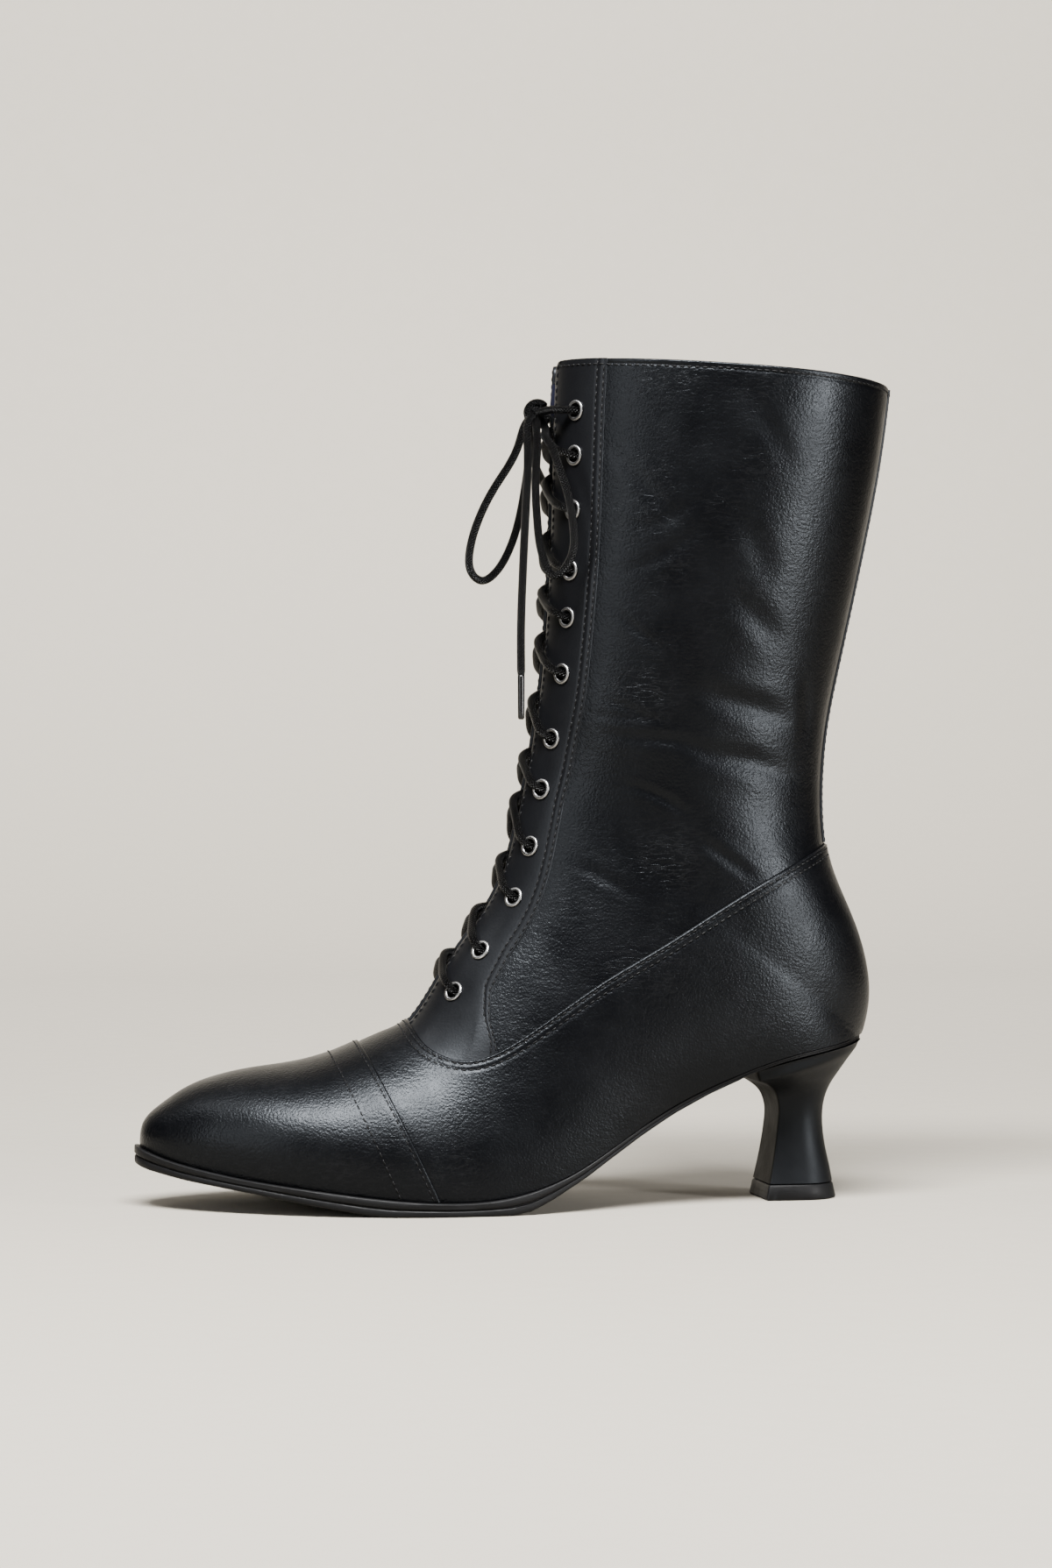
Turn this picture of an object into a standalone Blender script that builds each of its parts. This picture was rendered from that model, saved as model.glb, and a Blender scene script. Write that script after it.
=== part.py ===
"""Heeled lace-up boot for the left foot, in metres, +Z up, toe towards -X, outer side towards -Y.

Lengths in the tables are millimetres. The upper is one smooth closed form, given by fan sections that
turn from upright at the toe to level at the collar. Every layer is cut from that one form.
"""

import math
from collections import namedtuple
from functools import lru_cache

import bmesh
import bpy
import numpy as np
from mathutils import Matrix, Vector

MM = 0.001
GAP = 0.3
LAYER_GAP = 0.4
WALL = 1.8
GALOSH_THICK = 1.0
CAP_THICK = 1.4
EYESTAY_LIFT = 0.35
EYESTAY_THIN = 0.9
EYESTAY_THICK = 2.1
BACK_STAY_THICK = 0.8
BACK_STAY_HALF = 5.0
TONGUE_THICK = 1.6
INSOLE_THICK = 2.2
SEAT_THICK = 1.3

THROAT_HALF = 4.0
QUARTER_SETBACK = 9.4
EYELET_SETBACK = 6.1
EYELET_HEIGHTS = (72.5, 86.3, 104.1, 121.5, 140.8, 158.0, 180.0, 199.0, 215.0, 235.4, 253.9, 269.1)
EYELET_HOLE = 1.9
EYELET_BARREL = 2.35
EYELET_FLANGE = 3.5
EYELET_CROWN = 0.8
EYELET_STEPS = 8
HOLE_STEPS = 6
HOLE_RADIUS = 3.06

LACE_RADIUS = 1.4
AGLET_LENGTH = 15.0
AGLET_RADIUS = 1.2
HEEL_TWIST = math.radians(4.5)
LIFT_HEIGHT = 5.5

Section = namedtuple(
    "Section", "front_x front_z front_y seat_x seat_z seat_y lateral medial rise tuck")

# front: ridge or throat line. seat: feather edge or back line. rise: seat to widest point.
# tuck: half-width at the seat over the widest half-width.
LAST = [Section(*row) for row in (
    (-222.3, 21.0, 2.0, -222.3, 21.0, 2.0, 0.0, 0.0, 0.0, 0.93),
    (-221.2, 27.6, 2.0, -220.6, 18.9, 1.6, 6.6, 6.6, 3.5, 0.93),
    (-215.6, 33.0, 1.8, -214.0, 16.8, 1.0, 13.6, 13.6, 5.5, 0.94),
    (-207.0, 38.6, 1.4, -204.0, 14.5, 0.2, 20.6, 20.6, 7.5, 0.955),
    (-197.0, 42.3, 0.8, -191.0, 12.1, -1.2, 27.0, 26.8, 9.0, 0.96),
    (-186.0, 44.6, 0.2, -176.0, 10.0, -2.6, 32.8, 32.4, 10.0, 0.965),
    (-173.5, 46.4, -0.4, -159.0, 7.8, -3.9, 37.0, 37.0, 11.0, 0.968),
    (-161.5, 49.3, -0.8, -141.0, 5.8, -4.7, 39.6, 40.0, 11.5, 0.97),
    (-149.5, 53.8, -1.0, -126.0, 4.9, -5.0, 40.5, 41.3, 12.0, 0.97),
    (-141.0, 57.4, -1.0, -110.0, 5.2, -5.0, 39.8, 40.8, 13.0, 0.965),
    (-133.6, 61.4, -1.0, -95.0, 8.0, -4.8, 38.5, 38.6, 15.0, 0.95),
    (-126.5, 71.0, -1.0, -80.0, 13.9, -4.4, 36.6, 35.2, 18.0, 0.92),
    (-119.0, 83.5, -0.9, -65.0, 23.0, -3.8, 35.0, 32.4, 23.0, 0.86),
    (-110.5, 95.5, -0.7, -48.0, 33.6, -3.0, 34.0, 31.2, 30.0, 0.79),
    (-103.2, 107.5, -0.5, -28.0, 43.0, -2.0, 33.4, 31.4, 39.0, 0.78),
    (-98.6, 120.5, -0.3, -8.0, 50.0, -1.0, 33.1, 32.0, 49.0, 0.765),
    (-96.1, 131.5, -0.2, 8.0, 53.4, 0.0, 33.0, 32.2, 58.0, 0.64),
    (-94.3, 140.0, -0.1, 18.0, 55.4, 0.6, 32.9, 32.3, 65.0, 0.39),
    (-93.3, 145.0, 0.0, 23.2, 56.6, 1.0, 32.8, 32.4, 70.0, 0.0),
    (-92.0, 151.0, 0.0, 25.7, 69.0, 1.0, 32.7, 32.4, 70.0, 0.0),
    (-90.8, 158.0, 0.0, 23.7, 85.0, 1.0, 32.7, 32.4, 67.5, 0.0),
    (-89.7, 165.0, 0.0, 18.9, 98.5, 0.9, 32.8, 32.5, 65.0, 0.0),
    (-88.6, 171.5, 0.0, 13.7, 110.7, 0.8, 33.1, 32.8, 62.5, 0.0),
    (-87.7, 178.0, 0.0, 10.6, 122.5, 0.7, 33.5, 33.2, 60.0, 0.0),
    (-86.8, 187.0, 0.0, 9.6, 136.0, 0.6, 34.1, 33.9, 57.5, 0.0),
    (-86.0, 197.0, 0.0, 10.0, 150.0, 0.5, 35.0, 34.9, 55.0, 0.0),
    (-85.3, 208.0, 0.0, 11.9, 166.0, 0.4, 36.2, 36.1, 52.5, 0.0),
    (-84.6, 222.0, 0.0, 16.0, 186.0, 0.3, 37.7, 37.6, 51.0, 0.0),
    (-84.1, 238.0, 0.0, 20.8, 208.0, 0.2, 39.4, 39.4, 50.0, 0.0),
    (-83.7, 256.0, 0.0, 25.8, 232.0, 0.1, 41.0, 41.0, 49.0, 0.0),
    (-83.3, 272.0, 0.0, 30.0, 255.0, 0.0, 42.2, 42.2, 48.0, 0.0),
    (-82.6, 287.0, 0.0, 33.2, 279.0, 0.0, 43.0, 43.0, 47.5, 0.0),
)]
CAP_ROW = 8
THROAT_ROW = 10
HEEL_ROW = 18
COLLAR_ROW = 31

# x and z of the galosh's top seam in side view
GALOSH_LINE = (
    (-136.0, 74.0), (-133.2, 62.8), (-130.8, 57.3), (-125.7, 52.6), (-117.4, 50.3), (-108.7, 52.0),
    (-97.1, 58.4), (-82.6, 68.5), (-67.8, 78.3), (-52.9, 87.0), (-37.9, 96.2), (-22.5, 105.7),
    (-5.7, 114.9), (10.4, 122.3), (40.0, 134.0),
)

# section row and the eyestay's width behind the front line in side view
EYESTAY_EDGE = (
    (10.0, 33.0), (11.0, 31.5), (11.35, 28.0), (11.65, 21.0), (12.1, 16.2), (13.0, 14.2), (31.0, 14.4),
)

# section row, tongue half-width behind the front line in side view, depth of its face under the last
TONGUE_ROWS = ((9.2, 5.0, 2.8), (10.2, 8.0, 2.9), (11.4, 11.0, 4.6), (14.0, 13.0, 4.6), (30.5, 15.0, 4.6))

# x, underside height and rim beyond the upper of the outsole
OUTSOLE = (
    (-227.0, 14.7, 3.9), (-221.0, 12.9, 3.9), (-210.0, 10.6, 3.9), (-198.0, 8.7, 3.9), (-187.0, 7.0, 3.9),
    (-176.0, 5.0, 3.9), (-164.0, 2.9, 3.9), (-152.0, 1.0, 3.9), (-143.0, 0.0, 3.9), (-103.0, 0.0, 3.6),
    (-96.0, 1.2, 3.0), (-89.0, 4.5, 2.4), (-76.5, 11.9, 1.8), (-70.0, 16.4, 1.6), (-58.0, 24.5, 1.3),
    (-46.0, 31.9, 1.1), (-33.5, 38.4, 0.9), (-21.5, 43.6, 0.6),
)

HeelLevel = namedtuple("HeelLevel", "back_x back_z breast_x breast_z half belly")

# belly: where the widest point lies, as a share from the breast to the back
HEEL = [HeelLevel(*row) for row in (
    (14.0, 5.8, -11.0, 5.8, 12.4, 0.5),
    (12.9, 11.5, -9.8, 11.5, 11.6, 0.5),
    (11.2, 19.5, -8.4, 19.5, 10.8, 0.48),
    (10.5, 27.0, -7.5, 26.5, 10.4, 0.45),
    (10.9, 32.5, -7.3, 31.0, 10.9, 0.42),
    (12.2, 37.0, -8.2, 35.0, 12.4, 0.38),
    (14.3, 41.0, -9.8, 37.6, 15.0, 0.34),
    (17.0, 45.0, -12.0, 39.4, 18.4, 0.3),
    (20.0, 49.3, -14.8, 40.9, 22.0, 0.26),
    (22.3, 52.4, -17.5, 41.9, 24.8, 0.23),
    (23.8, 55.0, -19.0, 44.0, 26.4, 0.2),
)]
LIFT = [HeelLevel(*row) for row in (
    (15.3, 0.0, -12.2, 0.0, 13.0, 0.52),
    (14.1, LIFT_HEIGHT, -11.1, LIFT_HEIGHT, 12.5, 0.5),
)]

# lace routes in x, y, z: the loops and ends start and stop just off the knot
KNOT = (-90.6, -5.5, 270.0)
KNOT_RADII = (4.2, 5.2, 5.0)
LOOP_FRONT = (
    (-95.7, -7.4, 266.8), (-97.0, -9.0, 258.0), (-104.2, -10.0, 243.8), (-110.3, -10.0, 231.0),
    (-113.0, -9.2, 221.6), (-112.2, -7.6, 214.6), (-108.6, -5.4, 212.0), (-104.6, -3.0, 214.4),
    (-101.2, -1.0, 221.0), (-98.6, 0.4, 231.0), (-96.9, 0.6, 245.0), (-95.6, -0.6, 257.0),
    (-95.4, -2.6, 266.8),
)
LOOP_SIDE = (
    (-90.4, -11.2, 264.0), (-90.6, -15.0, 258.6), (-91.6, -18.4, 246.0), (-91.0, -21.6, 231.0),
    (-88.4, -24.4, 219.4), (-83.4, -26.8, 213.2), (-78.8, -28.8, 217.2), (-77.0, -29.8, 228.0),
    (-78.6, -28.8, 241.0), (-82.6, -25.6, 252.0), (-86.6, -20.2, 257.6), (-88.0, -14.6, 260.6),
    (-87.2, -9.4, 263.9),
)
END_NEAR = (
    (-94.3, -10.9, 266.4), (-95.4, -13.2, 258.6), (-94.4, -13.6, 247.0), (-94.6, -13.4, 230.0),
    (-95.3, -12.4, 212.0), (-95.7, -11.4, 196.0), (-95.6, -11.0, 179.4),
)
END_FAR = (
    (-92.7, -1.6, 265.0), (-92.0, 4.4, 260.4), (-91.6, 11.0, 257.4), (-88.4, 18.6, 253.6),
    (-83.0, 25.6, 247.6), (-78.0, 29.8, 238.0), (-75.0, 31.2, 226.0), (-74.4, 32.0, 212.0),
    (-74.6, 32.0, 196.0), (-75.0, 31.6, 179.4),
)

COLUMNS = (
    0.0, 0.4, 1.0, 1.7, 2.6, 3.6, 4.8, 6.0, 7.0, 8.0, 9.0, 10.0, 10.35, 10.7, 11.2, 12.0, 13.0, 14.0,
    14.45, 14.75, 15.2, 15.8, 16.5, 17.1, 17.6, 18.0, 19.0, 20.0, 21.0, 22.0, 23.0, 24.5, 26.5, 28.5, 31.0,
)
LOW_ROWS = 4
SIDE_ROWS = 4
RIDGE_ROWS = 2
LATERAL, MEDIAL = -1, 1


def curve(knots, values):
    """Natural cubic curve through values at rising knots."""
    k = np.array(knots, float)
    v = np.array(values, float)
    h = np.diff(k)
    n = len(k)
    system = np.eye(n)
    right = np.zeros(n)
    for i in range(1, n - 1):
        system[i, i - 1:i + 2] = h[i - 1], 2 * (h[i - 1] + h[i]), h[i]
        right[i] = 6 * ((v[i + 1] - v[i]) / h[i] - (v[i] - v[i - 1]) / h[i - 1])
    m = np.linalg.solve(system, right)

    def at(x):
        x = min(max(x, k[0]), k[-1])
        i = int(np.clip(np.searchsorted(k, x) - 1, 0, n - 2))
        p, q, w = x - k[i], k[i + 1] - x, h[i]
        bend = (m[i] * q ** 3 + m[i + 1] * p ** 3) / (6 * w)
        return bend + (v[i] / w - m[i] * w / 6) * q + (v[i + 1] / w - m[i + 1] * w / 6) * p

    return at


def ramp(rows, column=1):
    """Straight runs through a table's rows."""
    xs = [row[0] for row in rows]
    ys = [row[column] for row in rows]
    return lambda x: float(np.interp(x, xs, ys))


def solve(rises, low, high):
    """Place between low and high where a rising function crosses zero."""
    for _ in range(48):
        middle = (low + high) / 2
        if rises(middle) > 0:
            high = middle
        else:
            low = middle
    return (low + high) / 2


def closing(row):
    """Lowest point of the section's closed form and the share of its chord at the widest point."""
    front = np.array((row.front_x, row.front_z))
    seat = np.array((row.seat_x, row.seat_z))
    length = np.linalg.norm(front - seat)
    if length == 0:
        return seat, 0.45
    along = (front - seat) / length
    lower = row.rise / math.sqrt(1 - row.tuck ** 2)
    foot = seat - along * (lower - row.rise)
    return foot, lower / np.linalg.norm(front - foot)


CLOSED = [closing(row) for row in LAST]
ROWS = range(len(LAST))
FRONT = [curve(ROWS, [getattr(row, name) for row in LAST]) for name in ("front_x", "front_y", "front_z")]
FOOT = [
    curve(ROWS, [foot[0] for foot, share in CLOSED]),
    curve(ROWS, [row.seat_y for row in LAST]),
    curve(ROWS, [foot[1] for foot, share in CLOSED]),
]
WIDEST = curve(ROWS, [share for foot, share in CLOSED])
HALF = {
    LATERAL: curve(ROWS, [row.lateral for row in LAST]),
    MEDIAL: curve(ROWS, [row.medial for row in LAST]),
}
FEATHER = curve(
    [-228.0] + [row.seat_x for row in LAST[1:HEEL_ROW + 1]] + [30.0],
    [22.0] + [row.seat_z for row in LAST[1:HEEL_ROW + 1]] + [58.0])
GALOSH_TOP = curve([x for x, z in GALOSH_LINE], [z for x, z in GALOSH_LINE])


@lru_cache(maxsize=None)
def section(s):
    front = np.array([f(s) for f in FRONT])
    foot = np.array([f(s) for f in FOOT])
    return front, foot, WIDEST(s), HALF[LATERAL](s), HALF[MEDIAL](s)


def last_point(s, psi, side):
    """Point of the last: psi runs from 0 at the foot or back to pi at the ridge or front."""
    front, foot, share, lateral, medial = section(s)
    cosine = math.cos(psi)
    t = share * (1 - cosine) if cosine > 0 else share - (1 - share) * cosine
    point = foot + (front - foot) * t
    point[1] += side * (lateral if side == LATERAL else medial) * math.sin(psi)
    return point


def last_normal(s, psi, side):
    if s == 0:
        return np.array((-1.0, 0.0, 0.0))
    step = 0.004
    along = last_point(min(s + step, COLLAR_ROW), psi, side) - last_point(s - step, psi, side)
    across = last_point(s, psi + step, side) - last_point(s, psi - step, side)
    normal = np.cross(along, across) * -side
    return normal / np.linalg.norm(normal)


def surface(s, psi, side, out):
    return last_point(s, psi, side) + last_normal(s, psi, side) * out


@lru_cache(maxsize=None)
def feather_angle(s, out=0.0):
    """Angle where a layer lifted by out meets the feather edge, or 0 where it closes above it."""
    def above(psi):
        x, y, z = surface(s, psi, LATERAL, out)
        return z - FEATHER(x)

    return 0.0 if above(0.0) >= 0 else solve(above, 0.0, math.pi / 2)


def setback_angle(s, setback):
    """Angle at a side-view distance behind the front line."""
    front, foot, share, lateral, medial = section(s)
    reach = math.hypot(front[0] - foot[0], front[2] - foot[2]) * (1 - share)
    return math.pi - math.acos(1 - min(setback / max(reach, 1e-6), 0.4))


@lru_cache(maxsize=None)
def galosh_angle(s):
    """Angle where the section meets the galosh's top seam, or pi where it stays below it."""
    def above(psi):
        x, y, z = last_point(s, psi, LATERAL)
        return z - GALOSH_TOP(x)

    if above(math.pi) <= 0:
        return math.pi
    low = feather_angle(s)
    return low if above(low) >= 0 else solve(above, low, math.pi)


@lru_cache(maxsize=None)
def shell_angles(s):
    low = feather_angle(s)
    edge = setback_angle(s, QUARTER_SETBACK)
    return np.concatenate([
        np.linspace(low, math.pi / 2, LOW_ROWS + 1)[:-1],
        np.linspace(math.pi / 2, edge, SIDE_ROWS + 1)[:-1],
        np.linspace(edge, math.pi, RIDGE_ROWS + 1)])


def mesh_object(name, mesh, colour, roughness, metallic=0.0):
    material = bpy.data.materials.new(name)
    material.use_nodes = True
    shader = material.node_tree.nodes["Principled BSDF"]
    shader.inputs["Base Color"].default_value = (*colour, 1.0)
    shader.inputs["Roughness"].default_value = roughness
    shader.inputs["Metallic"].default_value = metallic
    mesh.materials.clear()
    mesh.materials.append(material)
    obj = bpy.data.objects.new(name, mesh)
    PARTS.objects.link(obj)
    return obj


def sheet(name, sides, weights=None):
    """Open mesh over a grid; sides maps a side to its columns, each a list of points.

    The faces look outwards. weights, if given, is a factor for each row of points.
    """
    bm = bmesh.new()
    layer = bm.verts.layers.deform.verify() if weights else None
    for side, grid in sides.items():
        verts = []
        for points in grid:
            verts.append([bm.verts.new(Vector(p) * MM) for p in points])
            if weights:
                for vert, weight in zip(verts[-1], weights):
                    vert[layer][0] = weight
        for first, second in zip(verts, verts[1:]):
            for k in range(min(len(first), len(second)) - 1):
                for corners in (
                        (first[k], second[k], second[k + 1]), (first[k], second[k + 1], first[k + 1])):
                    bm.faces.new(corners if side == LATERAL else corners[::-1])
    bmesh.ops.remove_doubles(bm, verts=bm.verts, dist=1e-5)
    mesh = bpy.data.meshes.new(name)
    bm.to_mesh(mesh)
    bm.free()
    return mesh


def thicken(obj, thickness, group_factor=None):
    shell = obj.modifiers.new("Thickness", "SOLIDIFY")
    shell.thickness = thickness * MM
    shell.offset = -1.0
    if group_factor is not None:
        obj.vertex_groups.new(name="full")
        shell.vertex_group = "full"
        shell.thickness_vertex_group = group_factor
    return shell


def layer(name, columns, angles, out):
    """Both halves of a layer over the last, lifted by out."""
    sides = {}
    for side in (LATERAL, MEDIAL):
        sides[side] = [[surface(s, psi, side, out) for psi in angles(s)] for s in columns]
    return sheet(name, sides)


LEATHER = (0.012, 0.012, 0.013)


def build_upper():
    def angles(s):
        rows = shell_angles(s)
        return rows if s <= THROAT_ROW else rows[:LOW_ROWS + SIDE_ROWS + 1]

    mesh = layer("upper", COLUMNS, angles, 0.0)
    obj = mesh_object("upper", mesh, LEATHER, 0.45)
    thicken(obj, WALL)


def build_galosh():
    out = LAYER_GAP + GALOSH_THICK

    def back_above(s, line):
        x, y, z = surface(s, 0.0, LATERAL, out)
        return z - line(x)

    point = solve(lambda s: FRONT[2](s) - GALOSH_TOP(FRONT[0](s)), THROAT_ROW, THROAT_ROW + 1) - 1e-6
    heel = solve(lambda s: back_above(s, FEATHER), HEEL_ROW - 0.5, HEEL_ROW + 0.5)
    end = solve(lambda s: back_above(s, GALOSH_TOP), 19.0, 25.0)
    columns = [s for s in COLUMNS if CAP_ROW <= s < end - 0.1 and s != HEEL_ROW]
    columns = sorted(columns + [point, heel, 22.45, 22.7, 22.85, end])

    def angles(s):
        rows = np.clip(shell_angles(s), feather_angle(s, out), galosh_angle(s))
        return rows if s <= point else rows[:LOW_ROWS + SIDE_ROWS + 1]

    obj = mesh_object("galosh", layer("galosh", columns, angles, out), LEATHER, 0.4)
    thicken(obj, GALOSH_THICK)


def build_toe_cap():
    columns = [s for s in COLUMNS if s < CAP_ROW] + [CAP_ROW - 0.035]
    out = LAYER_GAP + CAP_THICK
    mesh = layer("toe_cap", columns, lambda s: np.maximum(shell_angles(s), feather_angle(s, out)), out)
    obj = mesh_object("toe_cap", mesh, LEATHER, 0.35)
    thicken(obj, CAP_THICK)


def build_back_stay():
    columns = [23.35] + [s for s in COLUMNS if s > 23.5]

    def angles(s):
        front, foot, share, lateral, medial = section(s)
        return np.linspace(0.0, math.asin(BACK_STAY_HALF / lateral), 2)

    out = LAYER_GAP + BACK_STAY_THICK
    obj = mesh_object("back_stay", layer("back_stay", columns, angles, out), LEATHER, 0.42)
    thicken(obj, BACK_STAY_THICK)


def eyelet_place(height, side):
    """Point on the last and outward direction of an eyelet at a height."""
    def above(s):
        return last_point(s, setback_angle(s, EYELET_SETBACK), side)[2] - height

    s = solve(above, THROAT_ROW, COLLAR_ROW)
    psi = setback_angle(s, EYELET_SETBACK)
    return last_point(s, psi, side), last_normal(s, psi, side), s, psi


def build_eyestay(name, side, cutter):
    edge = ramp(EYESTAY_EDGE)

    def setbacks(s):
        front, foot, share, lateral, medial = section(s)
        reach = math.hypot(front[0] - foot[0], front[2] - foot[2]) * (1 - share)
        half = lateral if side == LATERAL else medial
        inner = reach * (1 - math.sqrt(1 - (THROAT_HALF / half) ** 2))
        return [inner, 4.0, 8.2, 8.9] + list(np.linspace(8.9, edge(s), 4)[1:])

    full = (1, 1, 1, 0, 0, 0, 0)

    def point(s, row):
        return surface(s, setback_angle(s, setbacks(s)[row]), side, EYESTAY_LIFT + EYESTAY_THIN)

    def low_end(row):
        def above(s):
            x, y, z = point(s, row)
            return z - GALOSH_TOP(x) - 1.7
        return solve(above, THROAT_ROW, 13.0)

    starts = [low_end(row) for row in range(len(full))]
    shares = np.linspace(0.0, 1.0, 17) ** 1.25
    grid = []
    for share in shares:
        grid.append([point(start + (COLLAR_ROW - start) * share, row) for row, start in enumerate(starts)])
    mesh = sheet(name, {-side: grid}, full)
    obj = mesh_object(name, mesh, LEATHER, 0.4)
    thicken(obj, EYESTAY_THICK, EYESTAY_THIN / EYESTAY_THICK)
    holes = obj.modifiers.new("Eyelet holes", "BOOLEAN")
    holes.operation = "DIFFERENCE"
    holes.solver = "EXACT"
    holes.object = cutter


def eyelet_frame(height, side):
    point, normal, s, psi = eyelet_place(height, side)
    turn = Vector(normal).to_track_quat("Z", "Y").to_matrix().to_4x4()
    return Matrix.Translation(Vector(point) * MM) @ turn


def build_eyelet_cutter(name, side):
    bm = bmesh.new()
    for height in EYELET_HEIGHTS:
        bmesh.ops.create_cone(
            bm, cap_ends=True, segments=HOLE_STEPS, radius1=HOLE_RADIUS * MM,
            radius2=HOLE_RADIUS * MM, depth=9.0 * MM, matrix=eyelet_frame(height, side))
    mesh = bpy.data.meshes.new(name)
    bm.to_mesh(mesh)
    bm.free()
    obj = bpy.data.objects.new(name, mesh)
    CUTTERS.objects.link(obj)
    obj.display_type = "WIRE"
    obj.hide_render = True
    return obj


def build_eyelets():
    top = EYESTAY_LIFT + EYESTAY_THIN + GAP
    bottom = EYESTAY_LIFT + EYESTAY_THIN - EYESTAY_THICK - 0.2
    profile = (
        (EYELET_FLANGE, top), (EYELET_HOLE + 0.15, top + EYELET_CROWN), (EYELET_HOLE, bottom),
        (EYELET_BARREL, bottom + 0.2), (EYELET_BARREL, top + 0.15))
    bm = bmesh.new()
    verts = [bm.verts.new((r * MM, 0.0, z * MM)) for r, z in profile]
    edges = [bm.edges.new((a, b)) for a, b in zip(verts, verts[1:] + verts[:1])]
    bmesh.ops.spin(
        bm, geom=verts + edges, cent=(0.0, 0.0, 0.0), axis=(0.0, 0.0, 1.0), angle=2 * math.pi,
        steps=EYELET_STEPS, use_merge=True)
    bmesh.ops.remove_doubles(bm, verts=bm.verts, dist=1e-6)
    bmesh.ops.recalc_face_normals(bm, faces=bm.faces)
    for side, word in ((LATERAL, "lateral"), (MEDIAL, "medial")):
        for number, height in enumerate(EYELET_HEIGHTS, 1):
            name = f"eyelet_{word}_{number:02d}"
            mesh = bpy.data.meshes.new(name)
            bm.to_mesh(mesh)
            obj = mesh_object(name, mesh, (0.6, 0.6, 0.62), 0.25, 1.0)
            obj.matrix_world = eyelet_frame(height, side)
    bm.free()


def build_tongue():
    half = ramp(TONGUE_ROWS, 1)
    depth = ramp(TONGUE_ROWS, 2)
    columns = [9.2, 10.0, 10.7, 11.4, 12.3, 13.3, 14.5, 16.0, 18.0, 20.0, 22.5, 25.0, 28.0, 30.5]
    sides = {}
    for side in (LATERAL, MEDIAL):
        sides[side] = []
        for s in columns:
            edge = setback_angle(s, half(s))
            angles = np.linspace(edge, math.pi, 4)
            sides[side].append([surface(s, psi, side, -depth(s)) for psi in angles])
    obj = mesh_object("tongue", sheet("tongue", sides), (0.02, 0.022, 0.035), 0.7)
    thicken(obj, TONGUE_THICK)


def foot_outline():
    """Feather edge in plan, from the toe tip along the outer side to the heel and back, and its normals."""
    toe = solve(lambda s: FEATHER(FOOT[0](s)) - FOOT[2](s), 0.0, 1.0)
    steps = [toe, toe + 0.06, 0.5] + [s for s in COLUMNS if 0.7 < s <= HEEL_ROW]
    loop = [last_point(s, feather_angle(s), LATERAL) for s in steps]
    loop += [last_point(s, feather_angle(s), MEDIAL) for s in steps[-2:0:-1]]
    plan = np.array(loop)[:, :2]
    edge = np.roll(plan, -1, axis=0) - plan
    edge /= np.linalg.norm(edge, axis=1)[:, None]
    normal = np.stack([-edge[:, 1], edge[:, 0]], axis=1)
    normal = -(normal + np.roll(normal, 1, axis=0))
    normal /= np.linalg.norm(normal, axis=1)[:, None]
    return plan, normal, len(steps)


def slab(name, rings, steps):
    """Closed solid from rings of points, top ring first, capped by strips across the foot."""
    bm = bmesh.new()
    loops = [[bm.verts.new(Vector(p) * MM) for p in ring] for ring in rings]
    count = len(loops[0])
    for upper, lower in zip(loops, loops[1:]):
        for i in range(count):
            j = (i + 1) % count
            bm.faces.new((upper[i], lower[i], lower[j], upper[j]))
    for loop in (loops[0], loops[-1]):
        for i in range(steps - 1):
            strip = [loop[i], loop[i + 1], loop[-i - 1], loop[-i]]
            corners = []
            for vert in strip:
                if vert not in corners:
                    corners.append(vert)
            bm.faces.new(corners)
    bmesh.ops.recalc_face_normals(bm, faces=bm.faces)
    mesh = bpy.data.meshes.new(name)
    bm.to_mesh(mesh)
    bm.free()
    return mesh


def outsole_under(x):
    """Height of the outsole's underside, which follows the feather edge over the heel."""
    seat = FEATHER(x) - GAP - SEAT_THICK
    return seat if x > OUTSOLE[-1][0] else min(ramp(OUTSOLE)(x), seat)


def build_outsole():
    rim = ramp(OUTSOLE, 2)
    plan, normal, steps = foot_outline()
    levels = ((0.0, 0.0), (0.42, 0.0), (0.5, 0.7), (0.58, 0.1), (0.92, 0.15), (1.0, 0.7))
    rings = []
    for share, inset in levels:
        ring = []
        for (x, y), (nx, ny) in zip(plan, normal):
            reach = rim(x) - inset * min(rim(x) / 3.0, 1.0)
            px, py = x + nx * reach, y + ny * reach
            top = FEATHER(px) - GAP
            ring.append((px, py, top + (outsole_under(px) - top) * share))
        rings.append(ring)
    mesh_object("outsole", slab("outsole", rings, steps), (0.014, 0.014, 0.015), 0.5)


def build_insole():
    plan, normal, steps = foot_outline()
    inset = WALL + 0.6
    rings = []
    for height in (INSOLE_THICK, 0.0):
        rings.append([(x - nx * inset, y - ny * inset, FEATHER(x - nx * inset) + height)
                      for (x, y), (nx, ny) in zip(plan, normal)])
    mesh_object("insole", slab("insole", rings, steps), (0.05, 0.045, 0.04), 0.8)


def heel_ring(level, top=None):
    """Outline of one heel level: a straight breast, full sides and a round back."""
    length = level.back_x - level.breast_x
    belly = level.breast_x + length * level.belly
    half = [(level.breast_x, 0.0), (level.breast_x, 0.84), (level.breast_x + 0.05 * length, 0.93)]
    half.append((level.breast_x + 0.5 * level.belly * length, 0.985))
    for angle in np.linspace(math.pi / 2, 0.0, 6):
        half.append((belly + (level.back_x - belly) * math.cos(angle), math.sin(angle)))
    outline = [(x, -y * level.half) for x, y in half] + [(x, y * level.half) for x, y in half[-2:0:-1]]
    ring = []
    for x, y in outline:
        share = (x - level.breast_x) / length
        px = x * math.cos(HEEL_TWIST) - y * math.sin(HEEL_TWIST)
        py = x * math.sin(HEEL_TWIST) + y * math.cos(HEEL_TWIST)
        z = top(px) if top else level.breast_z + (level.back_z - level.breast_z) * share
        ring.append((px, py, z))
    return ring, len(half)


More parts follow.
